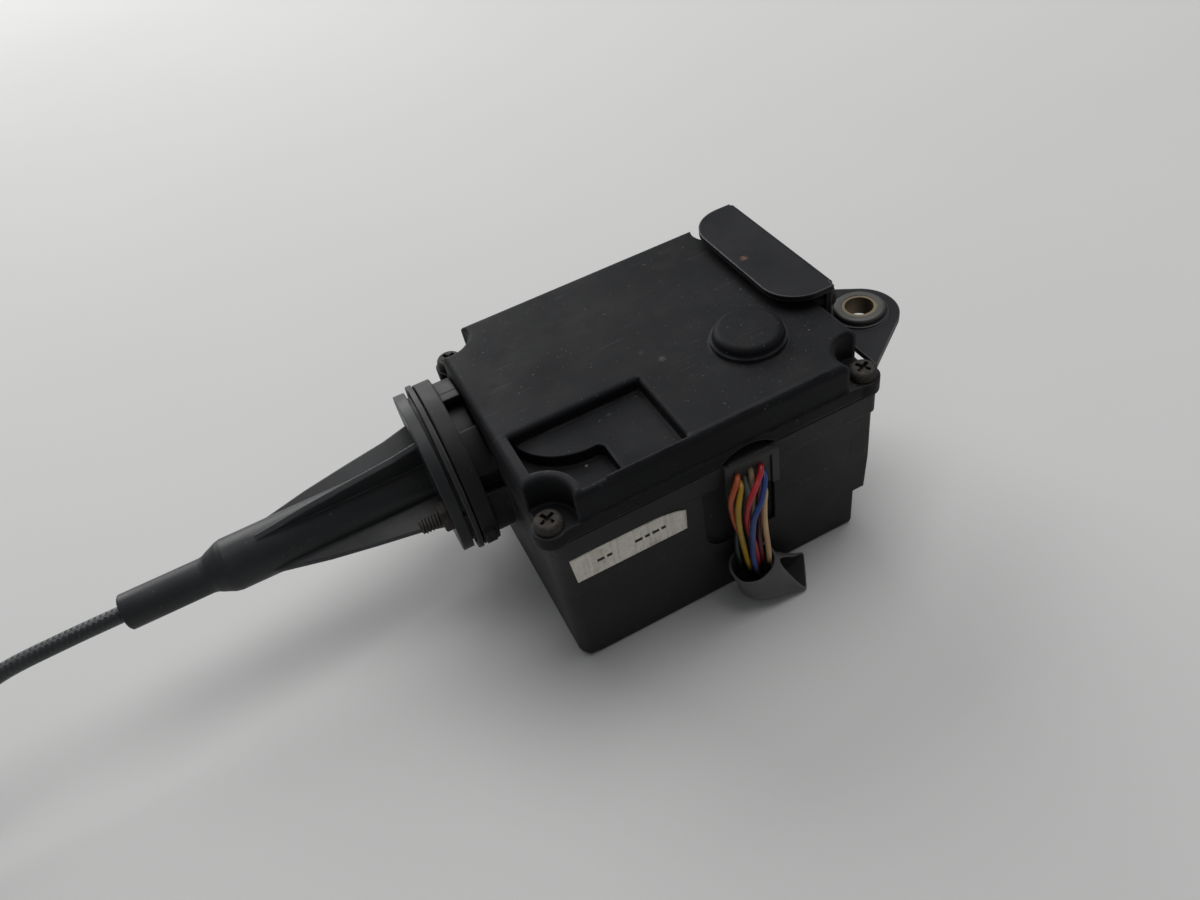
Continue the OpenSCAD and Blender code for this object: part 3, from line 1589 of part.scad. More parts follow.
housing();
cover();
cover_gasket();
cover_screws();
mounting_bracket();
bracket_screws();
ear_grommet();
ear_sleeve();
wire_grommet();
wire_orange();
wire_yellow();
wire_grey();
wire_green();
wire_tan();
wire_red();
wire_blue();
wire_cream();
wire_maroon();
wire_sleeve();
label();
cable_cap();
spacer_ring();
flange_stud();
flange_nut();
cable_sheath();
cable_coil();
cable_tail();
cable_ferrule();
core_end();
inner_core();
core_slug();
cable_drum();
drum_shaft();
drum_bush();
return_spring();
clutch_shaft();
pinion();
clutch_rotor();
clutch_armature();
clutch_coil();
coil_cup();
worm_wheel();
worm_wheel_bush();
lower_bearing();
upper_bearing();
worm();
motor_shaft();
shaft_bearing();
motor_can();
motor_end_cap();
motor_clamp();
motor_screws();
circuit_board();
board_screws();
wire_header();
relay();
capacitors();
control_chip();
position_sensor();
sensor_rotor();
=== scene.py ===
import math
import random

import bpy
from bpy.props import FloatProperty, FloatVectorProperty, IntProperty, PointerProperty
from mathutils import Matrix, Vector


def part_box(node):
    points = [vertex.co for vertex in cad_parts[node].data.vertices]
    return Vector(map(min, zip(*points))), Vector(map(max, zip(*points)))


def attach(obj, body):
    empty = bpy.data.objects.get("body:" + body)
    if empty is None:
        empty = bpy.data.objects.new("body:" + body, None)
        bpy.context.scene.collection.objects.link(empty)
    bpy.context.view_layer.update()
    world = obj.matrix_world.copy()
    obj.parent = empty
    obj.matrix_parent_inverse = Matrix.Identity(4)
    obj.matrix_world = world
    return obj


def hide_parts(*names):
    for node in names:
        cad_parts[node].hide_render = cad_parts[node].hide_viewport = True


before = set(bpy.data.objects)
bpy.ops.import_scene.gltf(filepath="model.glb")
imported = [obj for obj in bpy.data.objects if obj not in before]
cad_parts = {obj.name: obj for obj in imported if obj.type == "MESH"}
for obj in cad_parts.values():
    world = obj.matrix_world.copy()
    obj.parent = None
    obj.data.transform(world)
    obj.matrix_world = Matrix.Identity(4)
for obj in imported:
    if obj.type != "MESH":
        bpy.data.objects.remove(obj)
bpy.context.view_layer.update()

bl_info = {
    "name": "Cruise control servo",
    "version": (1, 0, 0),
    "blender": (4, 5, 0),
    "location": "3D View > Sidebar > Servo",
    "description": "Dresses the servo's case, cap, cable, wires and mechanism",
    "category": "Object",
}

# The camera's azimuth, elevation and roll in degrees, and its place in metres
CAMERA_ANGLES = (-16.75, 44.90, -13.17)
CAMERA_PLACE = (-0.0777, -0.1939, 0.2393)
# Square lamps: name, place, side and power
LAMPS = [("window_lamp", (-0.25, 1.6, 0.95), 1.3, 21), ("ceiling_lamp", (0.45, 0.35, 1.7), 1.3, 19)]
LAMP_TARGET = (0, 0, 0.03)
SKY_COLOUR = (0.95, 0.97, 1.0)
SKY_STRENGTH = 0.19

# Routes and places from the part's source, in millimetres
CAP_MOUTH = (-142, 18.5, 41.5)
SHEATH_ROUTE = [(-167.3, 18.5, 41.5), (-185, 18.5, 41.4), (-202, 18.4, 40.6), (-212, 17, 38.6),
                (-221, 13.4, 34.2), (-230, 7.6, 28), (-238, 0.4, 21), (-245, -7, 14.8),
                (-251.4, -13.8, 10.2), (-257.6, -19.9, 7.8)]
COIL_CENTRE = (-276, 2)
COIL_RADIUS = 28.6
COIL_LANE = 5.2
COIL_TOP = 7.8
COIL_LOW = 2.6
COIL_START = -50
COIL_SWEEP = 1210
COIL_STEPS = 242
# Where the coil changes lane and layer, in degrees from its start
COIL_GOES_IN = (250, 310)
COIL_GOES_DOWN = (550, 610)
COIL_GOES_OUT = (850, 910)
TAIL_ROUTE = [(-304.6, 9, 2.6), (-304.6, 18, 4), (-304.6, 32, 4), (-304.6, 48, 4)]
# Bore at the sheath's far end: where it starts, and its radius
BORE_FROM_Y = 17
BORE_RADIUS = 0.95
# Ribs of the sheath
RIB_PITCH = 1.7
RIB_STARTS = 3
# Steps between two points of a route
SHEATH_STEPS = 6
TAIL_STEPS = 8
WIRE_STEPS = 7
WIRE_SIDES = 14
# Holes of the grommet, x and z, in the order of the wires
WIRE_HOLES = [(4.6, 51.6), (4.8, 48.8), (7, 50.4), (7.2, 47.6), (8.8, 52.4), (12.2, 52.2),
              (13.2, 49.4), (11, 47), (10.2, 49.6)]
# Wires: inner end, start of the curve and the grommet's face
WIRE_INNER_Y = -34.6
WIRE_STRAIGHT_Y = -39
WIRE_OUT_Y = -43.3
# Colour and route of each wire outside the grommet
WIRES = [
    ("orange", (0.44, 0.085, 0.022),
     [(3.2, -46.6, 51.8), (0.6, -48.2, 49.2), (-0.4, -48.4, 45.6), (0, -48.2, 41), (0.9, -47.9, 35),
      (2.6, -47.6, 28), (3.8, -47, 19), (3.8, -47.4, 11)]),
    ("yellow", (0.40, 0.24, 0.016),
     [(3.9, -47, 49.4), (2.4, -48.8, 47.8), (0.9, -50.2, 45.2), (0.4, -50.6, 40.8), (1, -50.2, 33),
      (2.8, -49, 21.7), (3.6, -49.2, 15), (4.2, -49.4, 9)]),
    ("grey", (0.10, 0.11, 0.105),
     [(5.4, -47.8, 46), (4.7, -47.4, 41), (4.8, -47.6, 33), (5.2, -47.6, 25), (5.8, -47.4, 17),
      (5.9, -47.6, 9.4)]),
    # The green wire's dark green is pushed near black, partly as painted shade.
    ("green", (0.008, 0.030, 0.018),
     [(7.1, -45.4, 44.6), (5, -45, 39), (3, -45.2, 31), (1.8, -46, 23), (1.6, -46.9, 17),
      (2, -47.2, 14)]),
    ("tan", (0.23, 0.155, 0.085),
     [(8, -46, 51.2), (7.5, -47, 48.8), (7.5, -47.2, 44), (7.4, -46.6, 38), (7.4, -46.6, 30),
      (8, -46.8, 22), (8.6, -47, 17), (8.8, -47.2, 13)]),
    ("red", (0.38, 0.016, 0.024),
     [(10.9, -46.6, 51.6), (9, -48.2, 50), (6.6, -49.8, 48.6), (4.2, -50.8, 46), (3.2, -50.6, 40.8),
      (3.8, -49.6, 33), (5.6, -49.6, 25), (6.3, -49.5, 17), (6.2, -49.5, 9)]),
    ("blue", (0.020, 0.048, 0.19),
     [(11.5, -47.2, 48.2), (9.7, -49.4, 45.8), (7.6, -50.9, 43.2), (5, -52, 40.8), (3.9, -52.2, 36),
      (4, -51.4, 28.8), (4.3, -50.6, 20.6), (4.8, -51, 14), (5, -51.2, 9)]),
    ("cream", (0.56, 0.36, 0.18),
     [(11.6, -46.8, 43.2), (10.4, -48.4, 39.6), (9.4, -49.7, 36), (9.1, -50.4, 31), (9.4, -50.6, 25),
      (9.8, -50.4, 18.6), (9.6, -50.8, 9)]),
    ("maroon", (0.10, 0.012, 0.018),
     [(9.6, -46.8, 46), (9.4, -46.9, 39), (9.2, -47.2, 34), (7.7, -49, 26), (8, -49.2, 17),
      (7.9, -49.4, 9)]),
]
# Mouth, belly and cut end of the soft sleeve
SLEEVE_RINGS = [
    [(12.4, -50, 16.2), (10.6, -45.2, 17.8), (4.6, -44.4, 18.8), (-0.6, -45.4, 18.6),
     (-3.2, -49.2, 17.4), (-1.6, -53, 14.4), (3.6, -54.8, 13.2), (9.4, -53.6, 14.4)],
    [(12.4, -50.5, 15), (11.2, -45.6, 13.6), (7.4, -45, 7), (3.4, -46, 3.6),
     (1.2, -49.2, 3.2), (3.4, -53.6, 2.6), (8, -56.6, 5), (11.2, -54.9, 12)],
    [(12.6, -51.2, 14), (20.4, -47.6, 6.8), (25, -46, 2.6), (24, -48.4, 1.2),
     (22.4, -51.2, 0.8), (20.4, -54.4, 0.8), (18.2, -57.2, 1.2), (14.4, -56, 8.2)],
]
# Outline of the torn label, x and z on the near wall
LABEL_OUTLINE = [(-48.1, 48.7), (-47.3, 38), (-12.3, 38.2), (-12, 46.3), (-15, 47.6), (-19.4, 48.6),
                 (-30, 49), (-38.6, 49.1)]
# Pale marks on the cover: place, radius and strength
COVER_MARKS = [((16, -16.7, 71.3), 0.8, 0.6), ((2.1, -9.9, 71.3), 1.5, 0.22),
               ((-1.6, -4, 71.3), 1.4, 0.07), ((-32.4, -27.2, 62.5), 0.7, 0.6),
               ((-19.5, -17.1, 66.8), 1.2, 0.10), ((20.5, -22.5, 71.3), 1.6, 0.1),
               ((27.5, -22.5, 71.4), 2.2, 0.08)]
# Rust spot on the bracket's tab
TAB_RUST = (43.7, 11.4, 76)
# Finishes used more than once: colour, roughness and what else they take
GROMMET_RUBBER = ((0.017, 0.0165, 0.0155), 0.6, 0.04)
ZINC = ((0.52, 0.52, 0.50), 0.38, True)
# Plain dark bars on the label: start and length
LABEL_BARS = [(-40.4, 2.2), (-37.4, 1.6), (-28.6, 2.4), (-25.4, 1.5), (-23.1, 2.2), (-20.2, 1.4)]
BAR_HEIGHT = 1.1
BAR_LAYERS = (0.2, 0.26)
# Gap behind the label and its thickness
PASTE = 0.09
PAPER = 0.12
# Near wall: foot of the rim band, place and draft
BAND_Z = 49.3
BODY_HALF_WIDTH = 43.4
DRAFT = math.radians(1.3)
BOX_FACES = ((4, 5, 6, 7), (0, 3, 2, 1), (0, 1, 5, 4), (1, 2, 6, 5), (2, 3, 7, 6), (3, 0, 4, 7))


def metres(points):
    """Points in metres from points in millimetres."""
    return [Vector(p) * 0.001 for p in points]


def between(a, b, c, d, t):
    """The point at t of the smooth curve from b to c, with a before it and d after it."""
    return 0.5 * (2 * b + (c - a) * t + (2 * a - 5 * b + 4 * c - d) * t ** 2
                  + (3 * b - a - 3 * c + d) * t ** 3)


def catmull(points, steps):
    """A smooth line through all the points."""
    last = len(points) - 1
    line = []
    for i in range(last):
        a, b, c, d = points[max(i - 1, 0)], points[i], points[i + 1], points[min(i + 2, last)]
        line += [between(a, b, c, d, k / steps) for k in range(steps)]
    line.append(points[-1].copy())
    return line


def ring_smooth(ring, steps):
    """A closed smooth ring through the points."""
    n = len(ring)
    out = []
    for i in range(n):
        a, b, c, d = ring[i - 1], ring[i], ring[(i + 1) % n], ring[(i + 2) % n]
        out += [between(a, b, c, d, k / steps) for k in range(steps)]
    return out


def new_piece(name, points, faces, body, material, uvs=None, smooth=True):
    """Makes a piece of the scene that rides on a body of the part."""
    mesh = bpy.data.meshes.new(name)
    mesh.from_pydata([tuple(p) for p in points], [], faces)
    if uvs:
        layer = mesh.uv_layers.new(name="along")
        for loop in mesh.loops:
            layer.data[loop.index].uv = uvs[loop.vertex_index]
    mesh.validate()
    mesh.polygons.foreach_set("use_smooth", [smooth] * len(mesh.polygons))
    mesh.materials.append(material)
    piece = bpy.data.objects.new(name, mesh)
    bpy.context.scene.collection.objects.link(piece)
    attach(piece, body)
    return piece


def tube(path, radius, sides):
    """Points, faces and (length, round) coordinates of a closed tube along the path."""
    tangents = []
    for i in range(len(path)):
        tangents.append((path[min(i + 1, len(path) - 1)] - path[max(i - 1, 0)]).normalized())
    side = Vector((0, 0, 1)) if abs(tangents[0].z) < 0.9 else Vector((1, 0, 0))
    points, coords, run = [], [], 0.0
    for i, (p, t) in enumerate(zip(path, tangents)):
        side = (side - t * side.dot(t)).normalized()
        other = t.cross(side)
        if i:
            run += (p - path[i - 1]).length
        for k in range(sides):
            a = 2 * math.pi * k / sides
            points.append(p + (side * math.cos(a) + other * math.sin(a)) * radius)
            coords.append((run * 1000, k / sides))
    faces = []
    for i in range(len(path) - 1):
        for k in range(sides):
            m = (k + 1) % sides
            faces.append((i * sides + k, i * sides + m, (i + 1) * sides + m, (i + 1) * sides + k))
    faces.append(tuple(reversed(range(sides))))
    faces.append(tuple((len(path) - 1) * sides + k for k in range(sides)))
    return points, faces, coords


def tinted(colour, factor, lift=0.0):
    """The colour made lighter or darker."""
    return tuple(c * factor + lift for c in colour)


class Finish:
    """A procedural material under construction."""

    def __init__(self, name, colour, rough, metal=0.0):
        self.material = bpy.data.materials.new(name)
        self.material.use_nodes = True
        self.tree = self.material.node_tree
        self.shader = self.tree.nodes["Principled BSDF"]
        self.shader.inputs["Roughness"].default_value = rough
        self.shader.inputs["Metallic"].default_value = metal
        self.shader.inputs["Base Color"].default_value = (*colour, 1)
        self.place = self.node("ShaderNodeTexCoord").outputs["Object"]

    def node(self, kind, **settings):
        made = self.tree.nodes.new(kind)
        for key, value in settings.items():
            setattr(made, key, value)
        return made

    def join(self, source, target):
        self.tree.links.new(source, target)

    def noise(self, scale, detail=3.0, rough=0.5, stretch=None):
        n = self.node("ShaderNodeTexNoise")
        n.inputs["Scale"].default_value = scale
        n.inputs["Detail"].default_value = detail
        n.inputs["Roughness"].default_value = rough
        source = self.place
        if stretch:
            m = self.node("ShaderNodeMapping")
            m.inputs["Scale"].default_value = stretch
            self.join(source, m.inputs["Vector"])
            source = m.outputs["Vector"]
        self.join(source, n.inputs["Vector"])
        return n.outputs["Fac"]

    def ramp(self, source, low, high, out_low=0.0, out_high=1.0):
        r = self.node("ShaderNodeMapRange", interpolation_type="SMOOTHSTEP")
        r.inputs["From Min"].default_value = low
        r.inputs["From Max"].default_value = high
        r.inputs["To Min"].default_value = out_low
        r.inputs["To Max"].default_value = out_high
        self.join(source, r.inputs["Value"])
        return r.outputs["Result"]

    def math(self, operation, a, b=None):
        m = self.node("ShaderNodeMath", operation=operation)
        for slot, value in zip(m.inputs, (a, b)):
            if value is None:
                continue
            if isinstance(value, (int, float)):
                slot.default_value = value
            else:
                self.join(value, slot)
        return m.outputs[0]

    def mix(self, factor, a, b):
        m = self.node("ShaderNodeMix", data_type="RGBA")
        for slot, value in ((m.inputs[0], factor), (m.inputs[6], a), (m.inputs[7], b)):
            if isinstance(value, tuple):
                slot.default_value = (*value, 1)
            elif isinstance(value, (int, float)):
                slot.default_value = value
            else:
                self.join(value, slot)
        return m.outputs[2]

    def layer(self, body, over, mask, strength):
        """Lays a colour over the body where the mask is, at the given strength."""
        return self.mix(self.math("MULTIPLY", mask, strength), body, over)

    def soft_edges(self, radius):
        b = self.node("ShaderNodeBevel", samples=8)
        b.inputs["Radius"].default_value = radius
        return b.outputs["Normal"]

    def edge_mask(self, radius, strength):
        """How near a sharp edge is: 0 on flat ground, 1 on the edge."""
        soft = self.soft_edges(radius)
        flat = self.node("ShaderNodeNewGeometry").outputs["Normal"]
        dot = self.node("ShaderNodeVectorMath", operation="DOT_PRODUCT")
        self.join(soft, dot.inputs[0])
        self.join(flat, dot.inputs[1])
        away = self.math("SUBTRACT", 1.0, dot.outputs["Value"])
        return self.ramp(away, 0.01, strength)

    def facing_up(self):
        """1 on what faces up, 0 on upright walls."""
        split = self.node("ShaderNodeSeparateXYZ")
        self.join(self.node("ShaderNodeNewGeometry").outputs["Normal"], split.inputs[0])
        return self.ramp(split.outputs["Z"], 0.3, 0.9)

    def spot(self, point, radius):
        """A ragged spot round one point of the part, given in millimetres."""
        gap = self.node("ShaderNodeVectorMath", operation="DISTANCE")
        self.join(self.place, gap.inputs[0])
        gap.inputs[1].default_value = [c * 0.001 for c in point]
        ragged = self.math("ADD", self.math("MULTIPLY", gap.outputs["Value"], 1000 / radius),
                           self.math("MULTIPLY", self.noise(1600, 5, 0.8), 3.0))
        return self.ramp(ragged, 2.4, 1.7)

    def bump(self, height, strength, distance, normal=None):
        b = self.node("ShaderNodeBump")
        b.inputs["Strength"].default_value = strength
        b.inputs["Distance"].default_value = distance
        self.join(height, b.inputs["Height"])
        if normal is not None:
            self.join(normal, b.inputs["Normal"])
        return b.outputs["Normal"]

    def set(self, socket, source):
        self.join(source, self.shader.inputs[socket])


def moulded(name, colour, rough=0.5, dust=0.25, wear_and_highlight=0.5, grain=1.0, edge=0.0007, shine=0.3, marks=()):
    """Satin black moulding: fine eroded grain, lighter edges that are partly wear and partly a painted
    highlight, and a film of dust on what faces up.
    """
    f = Finish(name, colour, rough)
    f.shader.inputs["Specular IOR Level"].default_value = shine
    cloud = f.noise(38, 4, 0.6)
    fine = f.noise(420, 5, 0.65)
    body = f.mix(f.ramp(cloud, 0.3, 0.7), tinted(colour, 0.86), tinted(colour, 1.18))
    # Lighter edges: partly wear, partly a painted highlight along the edges.
    wear_and_highlight_edges = f.math("MULTIPLY", f.edge_mask(edge * 1.2, 0.14),
                    f.ramp(f.noise(160, 4), 0.3, 0.65, 0.25, 1.0))
    body = f.layer(body, tinted(colour, 3.4, 0.02), wear_and_highlight_edges, wear_and_highlight)
    film = f.math("MULTIPLY", f.facing_up(), f.ramp(f.noise(70, 6, 0.7), 0.42, 0.78))
    body = f.layer(body, (0.050, 0.049, 0.047), film, dust)
    specks = f.ramp(f.noise(1100, 2, 0.4), 0.73, 0.76)
    body = f.layer(body, (0.17, 0.165, 0.15), specks, 0.4)
    scratch = f.ramp(f.noise(60, 2, 0.5, stretch=(1, 14, 1)), 0.70, 0.73)
    body = f.layer(body, (0.12, 0.12, 0.12), scratch, 0.10)
    for point, radius, strength in marks:
        body = f.layer(body, (0.24, 0.235, 0.21), f.spot(point, radius), strength)
    f.set("Base Color", body)
    f.set("Roughness", f.ramp(f.noise(26, 5, 0.6), 0.3, 0.75, rough - 0.06, rough + 0.12))
    eroded = f.noise(2600, 2, 0.5)
    normal = f.bump(eroded, 0.16 * grain, 0.00012, f.soft_edges(edge))
    f.set("Normal", f.bump(fine, 0.05 * grain, 0.0003, normal))
    return f.material


def rubber(name, colour, rough=0.7, dust=0.25):
    """Dull black rubber with dust on what faces up."""
    f = Finish(name, colour, rough)
    body = f.mix(f.ramp(f.noise(120, 5, 0.6), 0.35, 0.7), colour, tinted(colour, 1.8))
    f.set("Base Color", f.layer(body, (0.10, 0.095, 0.085), f.facing_up(), dust))
    f.set("Roughness", f.ramp(f.noise(60, 4), 0.3, 0.7, rough - 0.1, rough + 0.1))
    f.set("Normal", f.bump(f.noise(1500, 4), 0.25, 0.0002, f.soft_edges(0.0004)))
    return f.material


def rusty(name, threaded=False):
    """Steel under brown rust, with grey metal left bare where it wears, and a thread's grooves darkened partly
    as dirt and partly as painted shade.
    """
    f = Finish(name, (0.07, 0.055, 0.045), 0.75)
    patch = f.noise(520, 6, 0.68)
    grit = f.noise(2400, 4, 0.6)
    body = f.mix(f.ramp(patch, 0.40, 0.62), (0.008, 0.007, 0.0065), (0.028, 0.021, 0.016))
    body = f.mix(f.ramp(grit, 0.56, 0.68), body, (0.080, 0.060, 0.046))
    body = f.layer(body, (0.12, 0.105, 0.09), f.edge_mask(0.0004, 0.2), 0.35)
    crumb = f.ramp(f.noise(300, 2, 0.4), 0.72, 0.76)
    body = f.layer(body, (0.28, 0.11, 0.04), crumb, 0.7)
    if threaded:
        split = f.node("ShaderNodeSeparateXYZ")
        f.join(f.node("ShaderNodeUVMap", uv_map="along").outputs[0], split.inputs[0])
        body = f.mix(f.ramp(split.outputs["X"], 0.05, 0.4, 0.75, 0.0), body, (0.15, 0.115, 0.09))
        # Grooves go near black: partly dirt, partly painted shade.
        body = f.mix(f.ramp(split.outputs["X"], 0.35, 0.75), body, (0.003, 0.003, 0.003))
    f.set("Base Color", body)
    f.set("Metallic", f.ramp(patch, 0.58, 0.75, 0.05, 0.35))
    f.set("Roughness", f.ramp(grit, 0.3, 0.7, 0.55, 0.9))
    normal = f.bump(patch, 0.5, 0.0004, f.soft_edges(0.0006))
    f.set("Normal", f.bump(grit, 0.5, 0.00015, normal))
    return f.material


def painted(name, colour, rough=0.4):
    """Black paint on steel: a smooth coat, bright edges that are partly bare steel and partly a painted
    highlight, and small rust spots.
    """
    f = Finish(name, colour, rough)
    f.shader.inputs["Specular IOR Level"].default_value = 0.18
    body = f.mix(f.ramp(f.noise(30, 4), 0.3, 0.7), tinted(colour, 0.9), tinted(colour, 1.2))
    # Bright edges: partly bare steel, partly a painted highlight.
    edge = f.edge_mask(0.0009, 0.22)
    body = f.layer(body, (0.20, 0.20, 0.21), edge, f.ramp(f.noise(90, 4), 0.3, 0.65, 0.35, 0.9))
    spots = f.math("MAXIMUM", f.ramp(f.noise(240, 3, 0.5), 0.72, 0.77), f.spot(TAB_RUST, 1.5))
    body = f.layer(body, (0.16, 0.07, 0.03), spots, 0.8)
    f.set("Base Color", body)
    f.set("Roughness", f.ramp(f.noise(44, 5, 0.65), 0.3, 0.75, rough - 0.06, rough + 0.16))
    normal = f.bump(f.noise(700, 3), 0.06, 0.0003, f.soft_edges(0.0007))
    f.set("Normal", f.bump(spots, 0.3, 0.0003, normal))
    return f.material


def metal(name, colour, rough=0.35, turned=False, stain=0.2):
    """Bare or plated metal with tool marks, round it or along it, and a light stain."""
    f = Finish(name, colour, rough, 1.0)
    marks = f.noise(90, 4, 0.6, stretch=(1, 1, 30) if turned else (1, 12, 1))
    body = f.mix(f.ramp(marks, 0.3, 0.7), tinted(colour, 0.8), colour)
    body = f.layer(body, (0.12, 0.09, 0.06), f.ramp(f.noise(60, 5), 0.5, 0.75), stain)
    f.set("Base Color", body)
    f.set("Roughness", f.ramp(marks, 0.3, 0.7, rough - 0.08, rough + 0.12))
    f.set("Normal", f.bump(marks, 0.12, 0.0002, f.soft_edges(0.0003)))
    return f.material


def plain_plastic(name, colour, rough=0.45):
    """Even plastic, lacquer or resin."""
    f = Finish(name, colour, rough)
    body = f.mix(f.ramp(f.noise(80, 4), 0.3, 0.7), tinted(colour, 0.85), tinted(colour, 1.1))
    f.set("Base Color", body)
    f.set("Roughness", f.ramp(f.noise(45, 3), 0.3, 0.7, rough - 0.05, rough + 0.1))
    f.set("Normal", f.bump(f.noise(1800, 2), 0.1, 0.0001, f.soft_edges(0.0003)))
    return f.material


def insulation(name, colour):
    """Wire insulation: soft sheen, grime in patches, and painted shade: near black low down, where the wires
    go into the sleeve.
    """
    f = Finish(name, colour, 0.42)
    grime = f.ramp(f.noise(260, 5, 0.65, stretch=(1, 1, 0.4)), 0.5, 0.75)
    body = f.mix(f.ramp(f.noise(90, 3), 0.3, 0.7), tinted(colour, 0.78), tinted(colour, 1.15))
    body = f.layer(body, tinted(colour, 0.3, 0.01), grime, 0.45)
    height = f.node("ShaderNodeSeparateXYZ")
    f.join(f.place, height.inputs[0])
    # Painted shade: below the sleeve's mouth the insulation turns near black.
    above_sleeve_shade = f.ramp(height.outputs["Z"], 0.0125, 0.019)
    f.set("Base Color", f.mix(above_sleeve_shade, (0.003, 0.003, 0.003), body))
    f.set("Roughness", f.ramp(grime, 0, 1, 0.36, 0.62))
    f.set("Normal", f.bump(f.noise(1400, 3), 0.12, 0.0001))
    return f.material


def sheath_finish(name, colour):
    """Ribbed black sheath: fine slanting ribs that break up the light along it."""
    f = Finish(name, colour, 0.38)
    along = f.node("ShaderNodeUVMap", uv_map="along")
    split = f.node("ShaderNodeSeparateXYZ")
    f.join(along.outputs[0], split.inputs[0])
    run, turn = split.outputs["X"], split.outputs["Y"]
    phase = f.math("ADD", f.math("MULTIPLY", run, 2 * math.pi / RIB_PITCH),
                   f.math("MULTIPLY", turn, 2 * math.pi * RIB_STARTS))
    rib = f.math("SINE", phase)
    body = f.mix(f.ramp(f.noise(60, 4), 0.3, 0.7), tinted(colour, 0.8), tinted(colour, 1.25))
    body = f.mix(f.ramp(f.noise(900, 3), 0.66, 0.76, 0.0, 0.25), body, (0.14, 0.135, 0.12))
    f.set("Base Color", body)
    f.set("Roughness", f.ramp(f.noise(50, 4), 0.3, 0.7, 0.32, 0.5))
    f.set("Normal", f.bump(rib, 0.55, 0.00022))
    return f.material


def paper(name, colour):
    """Aged paper: fibres, faint upright creases, grime."""
    f = Finish(name, colour, 0.72)
    fibres = f.noise(700, 6, 0.7)
    crease = f.noise(60, 3, 0.5, stretch=(16, 1, 1.2))
    body = f.mix(f.ramp(fibres, 0.3, 0.7), tinted(colour, 0.82), colour)
    body = f.layer(body, (0.30, 0.26, 0.21), f.ramp(crease, 0.52, 0.62), 0.2)
    body = f.layer(body, (0.34, 0.31, 0.26), f.ramp(f.noise(2300, 3, 0.6), 0.54, 0.66), 0.35)
    stains = f.ramp(f.noise(110, 5, 0.65), 0.55, 0.8)
    f.set("Base Color", f.layer(body, (0.30, 0.26, 0.20), stains, 0.5))
    f.set("Normal", f.bump(crease, 0.25, 0.0003))
    return f.material


def floor_finish(name, colour):
    """Matt floor with hardly any cloud in it."""
    f = Finish(name, colour, 0.8)
    f.set("Base Color", f.mix(f.ramp(f.noise(3, 4), 0.3, 0.7), tinted(colour, 0.97), colour))
    return f.material


MADE = {}


def finish(name, maker, *args, **kwargs):
    """The finish of that name, made once and then shared."""
    if name not in MADE:
        MADE[name] = maker(name, *args, **kwargs)
    return MADE[name]


def dress(nodes, material):
    """Gives CAD nodes their finish."""
    for name in nodes:
        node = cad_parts[name]
        node.data.materials.clear()
        node.data.materials.append(material)


class ServoSizes(bpy.types.PropertyGroup):
    lens: FloatProperty(name="Lens", description="Focal length of the camera on a 36 mm sensor",
                        default=27.02, min=10, max=100, unit="CAMERA")
    floor_span: FloatProperty(name="Floor span", description="Side of the square floor",
                              default=8.0, min=1, unit="LENGTH")
    sheath_diameter: FloatProperty(name="Sheath diameter", description="Outside of the cable's sheath",
                                   default=0.0052, min=0.003, max=0.01, unit="LENGTH")
    wire_diameter: FloatProperty(name="Wire diameter", description="Outside of each wire's insulation",
                                 default=0.0017, min=0.001, max=0.003, unit="LENGTH")
    sleeve_wall: FloatProperty(name="Sleeve wall", description="Thickness of the soft tube round the wires",
                               default=0.0008, min=0.0004, max=0.002, unit="LENGTH")
    thread_pitch: FloatProperty(name="Thread pitch", description="Pitch of the stud's thread",
                                default=0.001, min=0.0004, max=0.0015, unit="LENGTH")
    tube_sides: IntProperty(name="Tube sides", description="Sides of the cable's round section",
                            default=20, min=8, max=48)


class ServoColours(bpy.types.PropertyGroup):
    # The case's black is darker than the cover's, partly as painted shade on its walls.
    case: FloatVectorProperty(name="Case", description="Lower case's black", subtype="COLOR",
                              default=(0.0085, 0.0086, 0.0084), min=0, max=1)
    cover: FloatVectorProperty(name="Cover", description="Upper case's black", subtype="COLOR",
                               default=(0.0098, 0.0102, 0.0116), min=0, max=1)
    cap: FloatVectorProperty(name="Cable cap", description="Finned cap's black", subtype="COLOR",
                             default=(0.0172, 0.0182, 0.0202), min=0, max=1)
    bracket: FloatVectorProperty(name="Bracket paint", description="Paint of the mounting bracket",
                                 subtype="COLOR", default=(0.0105, 0.0108, 0.0128), min=0, max=1)
    sheath: FloatVectorProperty(name="Sheath", description="Black of the cable's sheath", subtype="COLOR",
                                default=(0.020, 0.022, 0.025), min=0, max=1)
    sleeve: FloatVectorProperty(name="Sleeve", description="Grey of the tube round the wires", subtype="COLOR",
                                default=(0.082, 0.079, 0.079), min=0, max=1)
    label: FloatVectorProperty(name="Label", description="Aged white of the paper label", subtype="COLOR",
                               default=(0.82, 0.78, 0.69), min=0, max=1)
    floor: FloatVectorProperty(name="Floor", description="Pale floor", subtype="COLOR",
                               default=(0.57, 0.57, 0.56), min=0, max=1)


